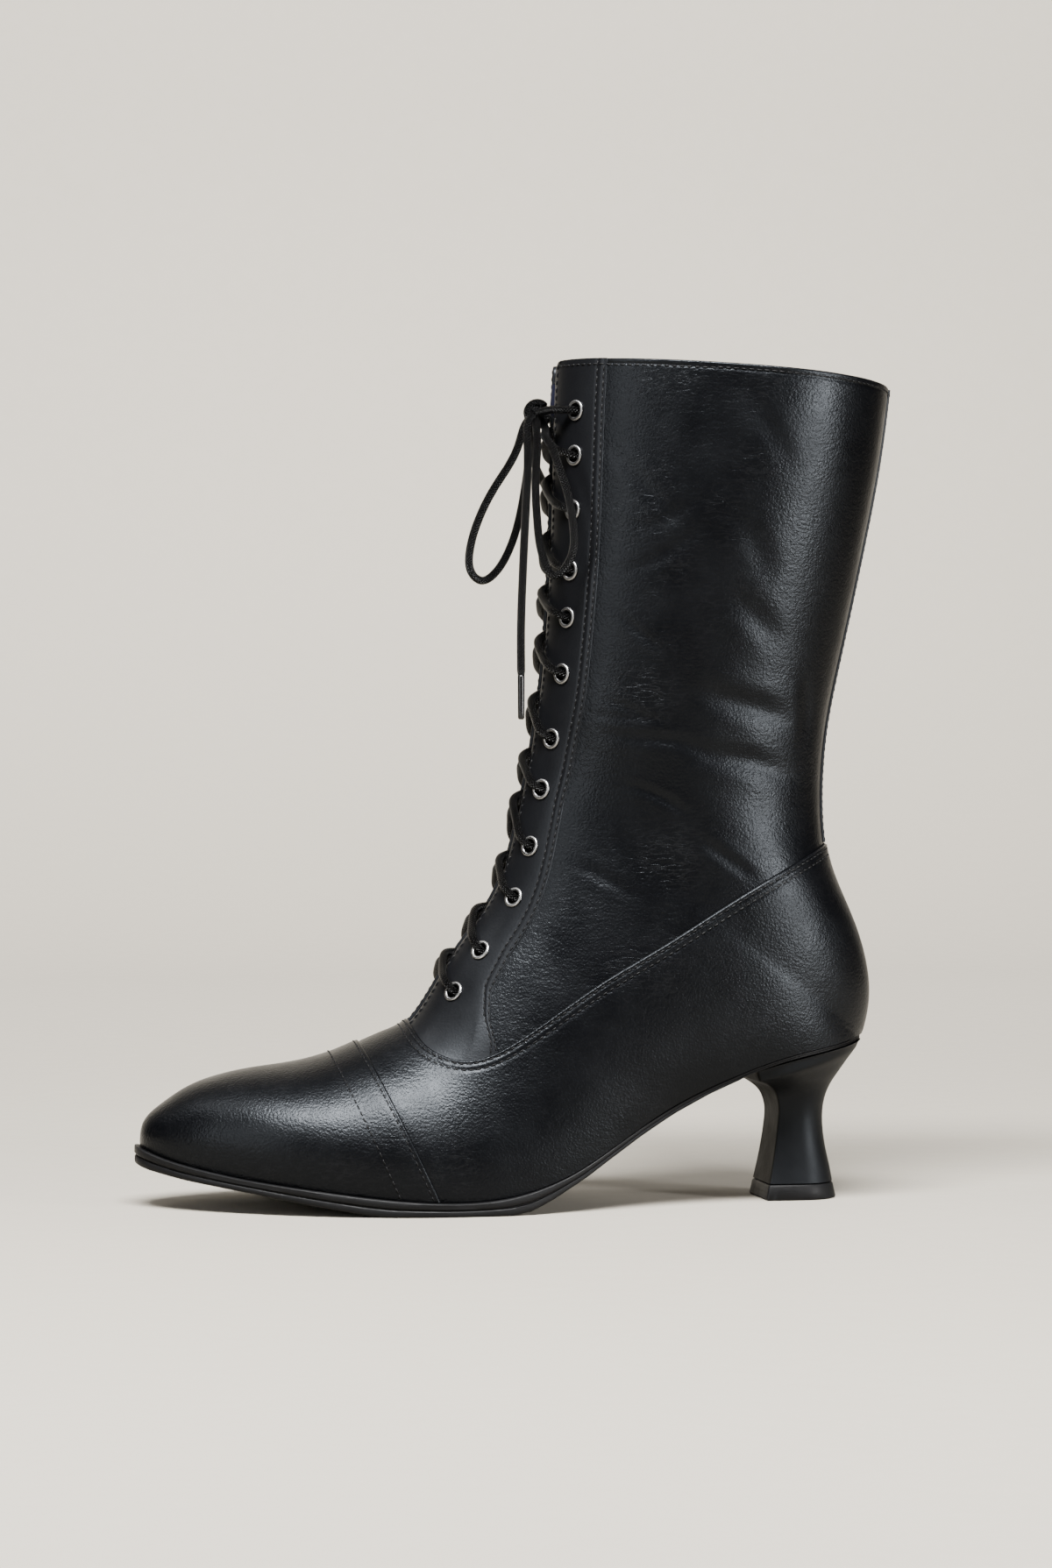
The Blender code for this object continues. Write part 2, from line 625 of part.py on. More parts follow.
def build_heel():
    def seat(x):
        return outsole_under(x) - LAYER_GAP

    rings = [heel_ring(HEEL[-1], seat)[0]] + [heel_ring(level)[0] for level in HEEL[-2::-1]]
    mesh_object("heel", slab("heel", rings, heel_ring(HEEL[0])[1]), (0.013, 0.012, 0.012), 0.4)
    rings = [heel_ring(level)[0] for level in LIFT[::-1]]
    mesh_object("top_lift", slab("top_lift", rings, heel_ring(LIFT[0])[1]), (0.012, 0.012, 0.012), 0.55)


def smooth_route(route, count):
    """Points evenly spread by length on a smooth curve through route points."""
    route = np.array(route, float)
    knots = np.concatenate([[0.0], np.cumsum(np.linalg.norm(np.diff(route, axis=0), axis=1))])
    axes = [curve(knots, route[:, i]) for i in range(3)]
    return [[axis(k) for axis in axes] for k in np.linspace(0.0, knots[-1], count)]


def cord_curve(name, points, radius, sides):
    data = bpy.data.curves.new(name, "CURVE")
    data.dimensions = "3D"
    data.bevel_depth = radius * MM
    data.bevel_resolution = sides
    data.use_fill_caps = True
    line = data.splines.new("POLY")
    line.points.add(len(points) - 1)
    for target, point in zip(line.points, points):
        target.co = (*(Vector(point) * MM), 1.0)
    return data


def cord_mesh(name, points, radius, sides=2):
    holder = bpy.data.objects.new(name + "_path", cord_curve(name + "_path", points, radius, sides))
    bpy.context.scene.collection.objects.link(holder)
    bpy.context.view_layer.update()
    mesh = bpy.data.meshes.new_from_object(holder.evaluated_get(bpy.context.evaluated_depsgraph_get()))
    bpy.data.objects.remove(holder)
    bm = bmesh.new()
    bm.from_mesh(mesh)
    bmesh.ops.remove_doubles(bm, verts=bm.verts, dist=1e-6)
    bmesh.ops.recalc_face_normals(bm, faces=bm.faces)
    bm.to_mesh(mesh)
    bm.free()
    mesh.name = name
    return mesh


LACE = (0.01, 0.01, 0.01)


def crossing_strand(first_side):
    """Route of one strand over the eyelets from the lowest to the highest, then to the knot."""
    out = EYESTAY_LIFT + EYESTAY_THIN + GAP + EYELET_CROWN + 0.9 + LACE_RADIUS
    places = []
    for number, height in enumerate(EYELET_HEIGHTS):
        side = first_side if number % 2 == 0 else -first_side
        point, normal, s, psi = eyelet_place(height, side)
        places.append((s, side * (math.pi - psi)))
    if first_side == LATERAL:
        places.insert(0, (places[0][0], -places[0][1]))
    route = []
    for (s0, a0), (s1, a1) in zip(places, places[1:]):
        for share in (0.0, 0.3, 0.7):
            s = s0 + (s1 - s0) * share
            turn = a0 + (a1 - a0) * share
            side = MEDIAL if turn > 0 else LATERAL
            route.append(surface(s, math.pi - abs(turn), side, out))
    s, turn = places[-1]
    side = MEDIAL if turn > 0 else LATERAL
    route.append(surface(s, math.pi - abs(turn), side, out))
    stop = np.array(KNOT) + np.array((2.5, side * (KNOT_RADII[1] + LACE_RADIUS + 0.2), -0.5))
    route.append((np.array(route[-1]) + stop) / 2 + np.array((-1.5, side * 1.0, 0.5)))
    route.append(stop)
    return route


def build_lace():
    mesh = cord_mesh("lace_crossings", crossing_strand(LATERAL), LACE_RADIUS, 1)
    strand = mesh_object("lace_crossings", mesh, LACE, 0.6)
    other = bpy.data.objects.new(
        "lace_second_strand", cord_mesh("lace_second_strand", crossing_strand(MEDIAL), LACE_RADIUS, 1))
    CUTTERS.objects.link(other)
    other.display_type = "WIRE"
    other.hide_render = True
    join = strand.modifiers.new("Second strand", "BOOLEAN")
    join.operation = "UNION"
    join.solver = "EXACT"
    join.object = other

    bm = bmesh.new()
    size = Matrix.Diagonal((*(Vector(KNOT_RADII) * MM), 1.0))
    bmesh.ops.create_uvsphere(
        bm, u_segments=10, v_segments=7, radius=1.0, matrix=Matrix.Translation(Vector(KNOT) * MM) @ size)
    mesh = bpy.data.meshes.new("lace_knot")
    bm.to_mesh(mesh)
    bm.free()
    mesh_object("lace_knot", mesh, LACE, 0.6)

    for name, route, count in (
            ("lace_loop_front", LOOP_FRONT, 18), ("lace_loop_side", LOOP_SIDE, 18),
            ("lace_end_near", END_NEAR, 14), ("lace_end_far", END_FAR, 16)):
        mesh_object(name, cord_mesh(name, smooth_route(route, count), LACE_RADIUS), LACE, 0.6)
    for name, route in (("aglet_near", END_NEAR), ("aglet_far", END_FAR)):
        x, y, z = route[-1]
        tip = [(x, y, z - GAP), (x, y, z - GAP - AGLET_LENGTH)]
        mesh_object(name, cord_mesh(name, tip, AGLET_RADIUS), (0.015, 0.015, 0.015), 0.3)


for old in list(bpy.data.objects):
    bpy.data.objects.remove(old)
PARTS = bpy.data.collections.new("heeled_lace_up_boot")
CUTTERS = bpy.data.collections.new("cutters")
bpy.context.scene.collection.children.link(PARTS)
bpy.context.scene.collection.children.link(CUTTERS)
CUTTERS.hide_render = True

build_upper()
build_galosh()
build_toe_cap()
build_back_stay()
build_eyestay("eyestay_lateral", LATERAL, build_eyelet_cutter("lateral_holes", LATERAL))
build_eyestay("eyestay_medial", MEDIAL, build_eyelet_cutter("medial_holes", MEDIAL))
build_eyelets()
build_tongue()
build_insole()
build_outsole()
build_heel()
build_lace()
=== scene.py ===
"""Looks of the heeled lace-up boot: leather layers, seams, eyelets, lace, sole, heel and studio.

The leather follows the same last as the solids. Lengths in the tables are millimetres.
"""

import math
from collections import namedtuple

import bpy
import numpy as np
from mathutils import Matrix, Vector
from mathutils.bvhtree import BVHTree
from mathutils.kdtree import KDTree


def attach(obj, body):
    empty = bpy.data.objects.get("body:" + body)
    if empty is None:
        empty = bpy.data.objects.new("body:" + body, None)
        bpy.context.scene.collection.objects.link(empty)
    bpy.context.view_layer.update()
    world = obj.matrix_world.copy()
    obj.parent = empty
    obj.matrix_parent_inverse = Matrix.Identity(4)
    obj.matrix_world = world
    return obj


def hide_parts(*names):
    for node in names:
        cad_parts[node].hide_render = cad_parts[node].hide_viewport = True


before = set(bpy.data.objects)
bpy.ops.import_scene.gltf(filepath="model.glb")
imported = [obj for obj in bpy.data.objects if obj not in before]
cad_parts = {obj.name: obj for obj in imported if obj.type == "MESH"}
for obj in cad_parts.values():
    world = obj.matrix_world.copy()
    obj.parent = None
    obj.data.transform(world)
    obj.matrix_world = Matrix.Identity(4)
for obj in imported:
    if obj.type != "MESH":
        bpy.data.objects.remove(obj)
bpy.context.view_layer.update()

bl_info = {
    "name": "Heeled lace-up boot",
    "version": (1, 0, 0),
    "blender": (4, 5, 0),
    "location": "3D View > Sidebar > Boot",
    "description": "Leather, seams, eyelets, lace, sole and studio of the heeled lace-up boot",
    "category": "Object",
}

MM = 0.001
BODY = "root"
LATERAL, MEDIAL = -1, 1
SIDES = ((LATERAL, "lateral"), (MEDIAL, "medial"))

Section = namedtuple(
    "Section", "front_x front_z front_y seat_x seat_z seat_y lateral medial rise tuck")

# front: ridge or throat line. seat: feather edge or back line. rise: seat to widest point.
# tuck: half-width at the seat over the widest half-width.
LAST = [Section(*row) for row in (
    (-222.3, 21.0, 2.0, -222.3, 21.0, 2.0, 0.0, 0.0, 0.0, 0.93),
    (-221.2, 27.6, 2.0, -220.6, 18.9, 1.6, 6.6, 6.6, 3.5, 0.93),
    (-215.6, 33.0, 1.8, -214.0, 16.8, 1.0, 13.6, 13.6, 5.5, 0.94),
    (-207.0, 38.6, 1.4, -204.0, 14.5, 0.2, 20.6, 20.6, 7.5, 0.955),
    (-197.0, 42.3, 0.8, -191.0, 12.1, -1.2, 27.0, 26.8, 9.0, 0.96),
    (-186.0, 44.6, 0.2, -176.0, 10.0, -2.6, 32.8, 32.4, 10.0, 0.965),
    (-173.5, 46.4, -0.4, -159.0, 7.8, -3.9, 37.0, 37.0, 11.0, 0.968),
    (-161.5, 49.3, -0.8, -141.0, 5.8, -4.7, 39.6, 40.0, 11.5, 0.97),
    (-149.5, 53.8, -1.0, -126.0, 4.9, -5.0, 40.5, 41.3, 12.0, 0.97),
    (-141.0, 57.4, -1.0, -110.0, 5.2, -5.0, 39.8, 40.8, 13.0, 0.965),
    (-133.6, 61.4, -1.0, -95.0, 8.0, -4.8, 38.5, 38.6, 15.0, 0.95),
    (-126.5, 71.0, -1.0, -80.0, 13.9, -4.4, 36.6, 35.2, 18.0, 0.92),
    (-119.0, 83.5, -0.9, -65.0, 23.0, -3.8, 35.0, 32.4, 23.0, 0.86),
    (-110.5, 95.5, -0.7, -48.0, 33.6, -3.0, 34.0, 31.2, 30.0, 0.79),
    (-103.2, 107.5, -0.5, -28.0, 43.0, -2.0, 33.4, 31.4, 39.0, 0.78),
    (-98.6, 120.5, -0.3, -8.0, 50.0, -1.0, 33.1, 32.0, 49.0, 0.765),
    (-96.1, 131.5, -0.2, 8.0, 53.4, 0.0, 33.0, 32.2, 58.0, 0.64),
    (-94.3, 140.0, -0.1, 18.0, 55.4, 0.6, 32.9, 32.3, 65.0, 0.39),
    (-93.3, 145.0, 0.0, 23.2, 56.6, 1.0, 32.8, 32.4, 70.0, 0.0),
    (-92.0, 151.0, 0.0, 25.7, 69.0, 1.0, 32.7, 32.4, 70.0, 0.0),
    (-90.8, 158.0, 0.0, 23.7, 85.0, 1.0, 32.7, 32.4, 67.5, 0.0),
    (-89.7, 165.0, 0.0, 18.9, 98.5, 0.9, 32.8, 32.5, 65.0, 0.0),
    (-88.6, 171.5, 0.0, 13.7, 110.7, 0.8, 33.1, 32.8, 62.5, 0.0),
    (-87.7, 178.0, 0.0, 10.6, 122.5, 0.7, 33.5, 33.2, 60.0, 0.0),
    (-86.8, 187.0, 0.0, 9.6, 136.0, 0.6, 34.1, 33.9, 57.5, 0.0),
    (-86.0, 197.0, 0.0, 10.0, 150.0, 0.5, 35.0, 34.9, 55.0, 0.0),
    (-85.3, 208.0, 0.0, 11.9, 166.0, 0.4, 36.2, 36.1, 52.5, 0.0),
    (-84.6, 222.0, 0.0, 16.0, 186.0, 0.3, 37.7, 37.6, 51.0, 0.0),
    (-84.1, 238.0, 0.0, 20.8, 208.0, 0.2, 39.4, 39.4, 50.0, 0.0),
    (-83.7, 256.0, 0.0, 25.8, 232.0, 0.1, 41.0, 41.0, 49.0, 0.0),
    (-83.3, 272.0, 0.0, 30.0, 255.0, 0.0, 42.2, 42.2, 48.0, 0.0),
    (-82.6, 287.0, 0.0, 33.2, 279.0, 0.0, 43.0, 43.0, 47.5, 0.0),
)]
# chord share of the widest point at the toe's tip, and section rows of the cap, throat, heel and collar
TIP_SHARE = 0.45
CAP_ROW = 8
THROAT_ROW = 10
HEEL_ROW = 18
COLLAR_ROW = 31

# x and z of the galosh's top seam in side view
GALOSH_LINE = (
    (-136.0, 74.0), (-133.2, 62.8), (-130.8, 57.3), (-125.7, 52.6), (-117.4, 50.3), (-108.7, 52.0),
    (-97.1, 58.4), (-82.6, 68.5), (-67.8, 78.3), (-52.9, 87.0), (-37.9, 96.2), (-22.5, 105.7),
    (-5.7, 114.9), (10.4, 122.3), (40.0, 134.0),
)

# section row and the eyestay's width behind the front line in side view
EYESTAY_EDGE = (
    (10.0, 33.0), (11.0, 31.5), (11.35, 28.0), (11.65, 21.0), (12.1, 16.2), (13.0, 14.2), (31.0, 14.4),
)

# half of the throat's gap, quarters' edge behind the front line, x where the galosh seam turns,
# shaft height per section row at the collar, and the collar's stitches below its edge
THROAT_HALF = 4.0
QUARTER_SETBACK = 9.4
SEAM_TURN = -122.0
COLLAR_STEP = 19.0
COLLAR_STITCH = 2.0

# eyelets behind the front line in side view, and their heights
EYELET_SETBACK = 6.1
EYELET_HEIGHTS = (72.5, 86.3, 104.1, 121.5, 140.8, 158.0, 180.0, 199.0, 215.0, 235.4, 253.9, 269.1)

# section row, tongue half-width behind the front line in side view, depth of its face under the last
TONGUE_ROWS = ((9.2, 5.0, 2.8), (10.2, 8.0, 2.9), (11.4, 11.0, 4.6), (14.0, 13.0, 4.6), (30.5, 15.0, 4.6))

# x, underside height and rim beyond the upper of the outsole
OUTSOLE = (
    (-227.0, 14.7, 3.9), (-221.0, 12.9, 3.9), (-210.0, 10.6, 3.9), (-198.0, 8.7, 3.9), (-187.0, 7.0, 3.9),
    (-176.0, 5.0, 3.9), (-164.0, 2.9, 3.9), (-152.0, 1.0, 3.9), (-143.0, 0.0, 3.9), (-103.0, 0.0, 3.6),
    (-96.0, 1.2, 3.0), (-89.0, 4.5, 2.4), (-76.5, 11.9, 1.8), (-70.0, 16.4, 1.6), (-58.0, 24.5, 1.3),
    (-46.0, 31.9, 1.1), (-33.5, 38.4, 0.9), (-21.5, 43.6, 0.6),
)

# gap between upper and outsole, and the outsole's thickness over the heel
SEAM_GAP = 0.3
SEAT_THICK = 1.3

HeelLevel = namedtuple("HeelLevel", "back_x back_z breast_x breast_z half belly")

# belly: where the widest point lies, as a share from the breast to the back
HEEL = [HeelLevel(*row) for row in (
    (14.0, 5.8, -11.0, 5.8, 12.4, 0.5),
    (12.9, 11.5, -9.8, 11.5, 11.6, 0.5),
    (11.2, 19.5, -8.4, 19.5, 10.8, 0.48),
    (10.5, 27.0, -7.5, 26.5, 10.4, 0.45),
    (10.9, 32.5, -7.3, 31.0, 10.9, 0.42),
    (12.2, 37.0, -8.2, 35.0, 12.4, 0.38),
    (14.3, 41.0, -9.8, 37.6, 15.0, 0.34),
    (17.0, 45.0, -12.0, 39.4, 18.4, 0.3),
    (20.0, 49.3, -14.8, 40.9, 22.0, 0.26),
    (22.3, 52.4, -17.5, 41.9, 24.8, 0.23),
    (23.8, 55.0, -19.0, 44.0, 26.4, 0.2),
)]
LIFT = [HeelLevel(*row) for row in (
    (15.3, 0.0, -12.2, 0.0, 13.0, 0.52),
    (14.1, 5.5, -11.1, 5.5, 12.5, 0.5),
)]
HEEL_TWIST = math.radians(4.5)

# lace routes in x, y, z: the loops and ends start and stop at the knot
KNOT = (-89.5, -5.7, 269.0)
LOOP_FRONT = (
    (-92.6, -7.4, 266.8), (-96.3, -9.0, 258.0), (-104.3, -10.0, 243.8), (-110.6, -10.0, 231.0),
    (-113.0, -9.2, 221.6), (-112.2, -7.6, 214.6), (-108.6, -5.4, 212.0), (-104.0, -3.0, 214.4),
    (-99.4, -1.0, 221.0), (-95.6, 0.4, 231.0), (-92.8, 0.6, 245.0), (-91.9, -0.6, 257.0),
    (-91.6, -2.6, 266.4),
)
LOOP_SIDE = (
    (-90.4, -11.2, 264.0), (-90.6, -15.0, 258.6), (-91.6, -18.4, 246.0), (-91.4, -21.6, 231.0),
    (-90.0, -24.4, 219.4), (-86.2, -26.8, 212.6), (-81.6, -28.8, 217.2), (-80.2, -29.6, 228.0),
    (-82.2, -28.0, 241.0), (-85.4, -24.6, 252.0), (-86.9, -20.0, 257.6), (-88.0, -14.6, 260.6),
    (-87.2, -9.4, 263.9),
)
END_NEAR = (
    (-92.9, -10.2, 266.4), (-93.7, -13.0, 258.6), (-93.8, -13.6, 247.0), (-94.6, -13.4, 230.0),
    (-95.3, -12.4, 212.0), (-95.7, -11.4, 196.0), (-95.6, -11.0, 179.4),
)
END_FAR = (
    (-91.4, -1.6, 265.0), (-90.0, 4.4, 260.4), (-89.0, 11.0, 257.4), (-87.0, 18.6, 253.6),
    (-83.0, 25.6, 247.6), (-78.0, 29.8, 238.0), (-75.0, 31.2, 226.0), (-74.4, 32.0, 212.0),
    (-74.6, 32.0, 196.0), (-75.0, 31.6, 179.4),
)

Crease = namedtuple("Crease", "depth width line")

# creases of the shaft in side view, outer side
SHAFT_CREASES = [Crease(*row) for row in (
    (0.3, 1.8, ((-76.2, 166.0), (-65.8, 165.2), (-54.2, 164.3), (-43.5, 163.7))),
    (0.35, 1.8, ((-70.6, 171.9), (-61.7, 168.1), (-52.8, 164.6))),
    (0.45, 2.6, ((-73.5, 160.2), (-58.7, 158.1), (-40.9, 155.8), (-29.0, 149.9))),
    (1.1, 5.0, ((-42.0, 175.4), (-27.5, 170.7), (-17.1, 168.1), (-2.7, 162.0))),
    (0.9, 4.6, ((-44.9, 155.3), (-27.5, 151.6), (-14.1, 148.7), (-1.7, 142.4))),
    (0.6, 3.4, ((-0.8, 182.2), (0.9, 166.0), (-0.5, 150.8))),
    (0.4, 2.6, ((-70.6, 258.5), (-58.7, 245.3), (-48.3, 233.5), (-39.4, 227.7))),
    (0.5, 1.8, ((-67.6, 232.1), (-55.7, 229.1), (-43.8, 235.0), (-32.0, 240.3))),
    (0.45, 2.4, ((-67.6, 213.0), (-54.2, 217.4), (-40.9, 226.2), (-33.5, 230.6))),
    (0.45, 4.2, ((-26.6, 282.0), (-19.5, 267.3), (-12.7, 256.5), (-6.7, 244.8))),
    (0.5, 5.0, ((-27.0, 237.0), (-20.0, 223.0), (-13.1, 209.6))),
    (0.6, 5.2, ((-31.0, 207.7), (-18.6, 198.3), (-8.7, 187.5))),
    (0.35, 2.4, ((-84.4, 118.0), (-70.6, 111.7), (-57.2, 102.9))),
    (0.6, 2.6, ((-39.9, 125.5), (-26.0, 116.0), (-17.0, 109.8))),
    (0.45, 1.7, ((-67.6, 202.7), (-58.7, 193.9), (-49.8, 186.6))),
    (0.5, 2.0, ((-66.0, 143.0), (-52.0, 139.0), (-40.0, 131.0))),
)]


def length_setting(name, description, default, low, high):
    """Length in millimetres with its limits."""
    return bpy.props.FloatProperty(
        name=name, description=description, default=default * MM, min=low * MM, max=high * MM, unit="LENGTH")


def colour_setting(name, description, default):
    return bpy.props.FloatVectorProperty(
        name=name, description=description, default=default, min=0.0, max=1.0, subtype="COLOR")


def power_setting(name, description, default):
    return bpy.props.FloatProperty(
        name=name, description=description, default=default, min=0.0, max=500.0, unit="POWER")


class BootSizes(bpy.types.PropertyGroup):
    """Sizes of the boot's leather, thread, metal and cord."""
    wall: length_setting("Upper wall", "Leather and lining of the upper together", 1.8, 0.5, 4.0)
    galosh_lift: length_setting("Galosh lift", "Height of the galosh's face over the last", 1.4, 0.5, 3.0)
    cap_lift: length_setting("Toe cap lift", "Height of the toe cap's face over the last", 1.9, 0.5, 4.0)
    eyestay_lift: length_setting("Eyestay lift", "Height of the eyestay's face over the last", 0.6, 0.2, 3.0)
    eyestay_thickness: length_setting(
        "Eyestay thickness", "Facing and leather together at the throat", 2.1, 1.0, 4.0)
    stitch: length_setting("Stitch", "Length of one stitch", 2.0, 1.0, 5.0)
    stitch_pitch: length_setting("Stitch pitch", "Length from one stitch to the next", 2.6, 1.0, 6.0)
    thread: length_setting("Thread", "Radius of the sewing thread", 0.24, 0.1, 1.0)
    lace: length_setting("Lace", "Radius of the round lace", 1.4, 0.5, 3.0)
    aglet: length_setting("Aglet", "Radius of the lace's tips", 1.2, 0.5, 3.0)
    aglet_length: length_setting("Aglet length", "Length of the lace's tips", 15.0, 5.0, 30.0)
    eyelet_ring: length_setting(
        "Eyelet ring", "Radius of the middle of the eyelet's rolled ring", 2.95, 1.0, 5.0)
    eyelet_roll: length_setting("Eyelet roll", "Half the width of the eyelet's rolled ring", 0.62, 0.3, 2.0)


class BootFinishes(bpy.types.PropertyGroup):
    """Colours of the boot's materials and strengths of the studio."""
    leather: colour_setting("Leather", "Colour of the outer leather", (0.0006, 0.00063, 0.00085))
    facing: colour_setting(
        "Facing", "Colour of the smooth leather of the eyestays and back stay", (0.002, 0.00205, 0.0024))
    # painted highlight: the wrinkles' ridges get this lighter colour in place of the light they catch
    ridge_sheen: colour_setting(
        "Ridge sheen", "Colour of the rubbed ridges of the leather's wrinkles", (0.0027, 0.0027, 0.003))
    lining: colour_setting("Lining", "Colour of the lining", (0.003, 0.003, 0.0033))
    tongue: colour_setting("Tongue", "Colour of the tongue", (0.0018, 0.0022, 0.008))
    sole: colour_setting("Sole", "Colour of the sole and top lift", (0.0018, 0.0018, 0.002))
    breast: colour_setting("Heel breast", "Colour of the painted front of the heel", (0.0022, 0.002, 0.0017))
    metal: colour_setting("Metal", "Colour of the eyelets", (0.24, 0.238, 0.235))
    cord: colour_setting("Cord", "Colour of the lace", (0.0004, 0.0004, 0.0005))
    thread: colour_setting("Thread", "Colour of the sewing thread", (0.0016, 0.0016, 0.0018))
    aglet: colour_setting("Aglet", "Colour of the lace's tips", (0.0015, 0.0015, 0.0015))
    paper: colour_setting("Paper", "Colour of the floor and backdrop", (0.22, 0.2, 0.166))
    key_power: power_setting("Key light", "Power of the wide light overhead", 140.0)
    side_power: power_setting("Side light", "Power of the tall light on the right", 50.0)
    paper_power: power_setting("Paper lights", "Power of each of the two lights on the backdrop", 90.0)
    fill_power: power_setting("Fill light", "Power of the soft light on the left", 11.0)


def size(name):
    """One of the boot's sizes in millimetres."""
    return getattr(bpy.context.scene.boot_sizes, name) / MM


def finish(name):
    """One of the boot's colours or light powers."""
    return getattr(bpy.context.scene.boot_finishes, name)


def curve(knots, values):
    """Natural cubic curve through values at rising knots, for numbers and arrays."""
    k = np.array(knots, float)
    v = np.array(values, float)
    h = np.diff(k)
    n = len(k)
    system = np.eye(n)
    right = np.zeros(n)
    for i in range(1, n - 1):
        system[i, i - 1:i + 2] = h[i - 1], 2 * (h[i - 1] + h[i]), h[i]
        right[i] = 6 * ((v[i + 1] - v[i]) / h[i] - (v[i] - v[i - 1]) / h[i - 1])
    m = np.linalg.solve(system, right)

    def at(x):
        x = np.clip(x, k[0], k[-1])
        i = np.clip(np.searchsorted(k, x) - 1, 0, n - 2)
        p, q, w = x - k[i], k[i + 1] - x, h[i]
        bend = (m[i] * q ** 3 + m[i + 1] * p ** 3) / (6 * w)
        return bend + (v[i] / w - m[i] * w / 6) * q + (v[i + 1] / w - m[i + 1] * w / 6) * p

    return at


def ramp(rows, column=1):
    """Straight runs through a table's rows."""
    xs = [row[0] for row in rows]
    ys = [row[column] for row in rows]
    return lambda x: np.interp(x, xs, ys)


def solve(rises, low, high, steps=44):
    """Places between low and high where a rising function crosses zero."""
    low = np.array(low, float)
    high = np.array(high, float)
    for _ in range(steps):
        middle = (low + high) / 2
        over = rises(middle) > 0
        high = np.where(over, middle, high)
        low = np.where(over, low, middle)
    return (low + high) / 2


def lengths_along(line):
    """Length from a line's start to each of its points."""
    return np.concatenate([[0.0], np.cumsum(np.linalg.norm(np.diff(line, axis=0), axis=1))])


def unit(vectors):
    return vectors / np.linalg.norm(vectors, axis=-1, keepdims=True)


def ease(share):
    """A share from 0 to 1 with a gentle start and stop."""
    return share * share * (3 - 2 * share)


def closing(row):
    """Lowest point of the section's closed form and the share of its chord at the widest point."""
    front = np.array((row.front_x, row.front_z))
    seat = np.array((row.seat_x, row.seat_z))
    length = np.linalg.norm(front - seat)
    if length == 0:
        return seat, TIP_SHARE
    along = (front - seat) / length
    lower = row.rise / math.sqrt(1 - row.tuck ** 2)
    foot = seat - along * (lower - row.rise)
    return foot, lower / np.linalg.norm(front - foot)


CLOSED = [closing(row) for row in LAST]
ROWS = range(len(LAST))
FRONT = [curve(ROWS, [getattr(row, name) for row in LAST]) for name in ("front_x", "front_y", "front_z")]
FOOT = [
    curve(ROWS, [foot[0] for foot, share in CLOSED]),
    curve(ROWS, [row.seat_y for row in LAST]),
    curve(ROWS, [foot[1] for foot, share in CLOSED]),
]
WIDEST = curve(ROWS, [share for foot, share in CLOSED])
HALF = {
    LATERAL: curve(ROWS, [row.lateral for row in LAST]),
    MEDIAL: curve(ROWS, [row.medial for row in LAST]),
}
# feather edge in side view, run on past the toe and the heel
FEATHER = curve(*zip(
    (-228.0, 22.0), *((row.seat_x, row.seat_z) for row in LAST[1:HEEL_ROW + 1]), (30.0, 58.0)))
GALOSH_TOP = curve(*zip(*GALOSH_LINE))


def last_point(s, psi, side):
    """Points of the last: psi runs from 0 at the foot or back to pi at the ridge or front."""
    s, psi = np.broadcast_arrays(np.asarray(s, float), np.asarray(psi, float))
    front = np.stack([f(s) for f in FRONT], axis=-1)
    foot = np.stack([f(s) for f in FOOT], axis=-1)
    share = WIDEST(s)
    cosine = np.cos(psi)
    t = np.where(cosine > 0, share * (1 - cosine), share - (1 - share) * cosine)
    point = foot + (front - foot) * t[..., None]
    point[..., 1] += side * HALF[side](s) * np.sin(psi)
    return point


def last_normal(s, psi, side):
    s, psi = np.broadcast_arrays(np.asarray(s, float), np.asarray(psi, float))
    step = 0.004
    along = last_point(s + step, psi, side) - last_point(s - step, psi, side)
    across = last_point(s, psi + step, side) - last_point(s, psi - step, side)
    normal = np.cross(along, across) * -side
    length = np.linalg.norm(normal, axis=-1, keepdims=True)
    toe = (s == 0)[..., None]
    return np.where(toe, np.array((-1.0, 0.0, 0.0)), normal / np.maximum(length, 1e-12))


def surface(s, psi, side, out):
    return last_point(s, psi, side) + last_normal(s, psi, side) * np.asarray(out)[..., None]


def feather_angle(s, out=0.0):
    """Angle where a layer lifted by out meets the feather edge, or 0 where it closes above it."""
    s = np.asarray(s, float)

    def above(psi):
        point = surface(s, psi, LATERAL, out)
        return point[..., 2] - FEATHER(point[..., 0])

    start = np.zeros_like(s)
    return np.where(above(start) >= 0, 0.0, solve(above, start, start + math.pi / 2))


def galosh_angle(s):
    """Angle where the section meets the galosh's top seam, or pi where it stays below it."""
    s = np.asarray(s, float)

    def above(psi):
        point = last_point(s, psi, LATERAL)
        return point[..., 2] - GALOSH_TOP(point[..., 0])

    low = feather_angle(s)
    top = np.zeros_like(s) + math.pi
    crossing = np.where(above(low) >= 0, low, solve(above, low, top))
    return np.where(above(top) <= 0, math.pi, crossing)


def chord_reach(s):
    """Side-view length from the widest point to the front line."""
    return np.hypot(FRONT[0](s) - FOOT[0](s), FRONT[2](s) - FOOT[2](s)) * (1 - WIDEST(s))


def setback_angle(s, setback):
    """Angle at a side-view distance behind the front line."""
    return math.pi - np.arccos(1 - np.minimum(setback / np.maximum(chord_reach(s), 1e-6), 0.97))


def spread(s, low, high, side, shares):
    """Angles of one section from low to high; shares gives their places for an arc's length."""
    fine = np.linspace(low, high, 90)
    length = lengths_along(last_point(s, fine, side))
    return np.interp(shares(length[-1]) * length[-1], length, fine)


def even(count):
    return lambda length: np.linspace(0.0, 1.0, count + 1)


def close_to_end(count, offsets):
    """Shares of an arc whose last ones lie at given distances before its end."""
    def shares(length):
        steps = np.arange(len(offsets)) / count
        near = np.minimum(np.array(offsets) / max(length, 1e-6), steps)
        rest = np.linspace(near[-1], 1.0, count + 2 - len(offsets))[1:]
        return 1 - np.concatenate([near, rest])[::-1]

    return shares


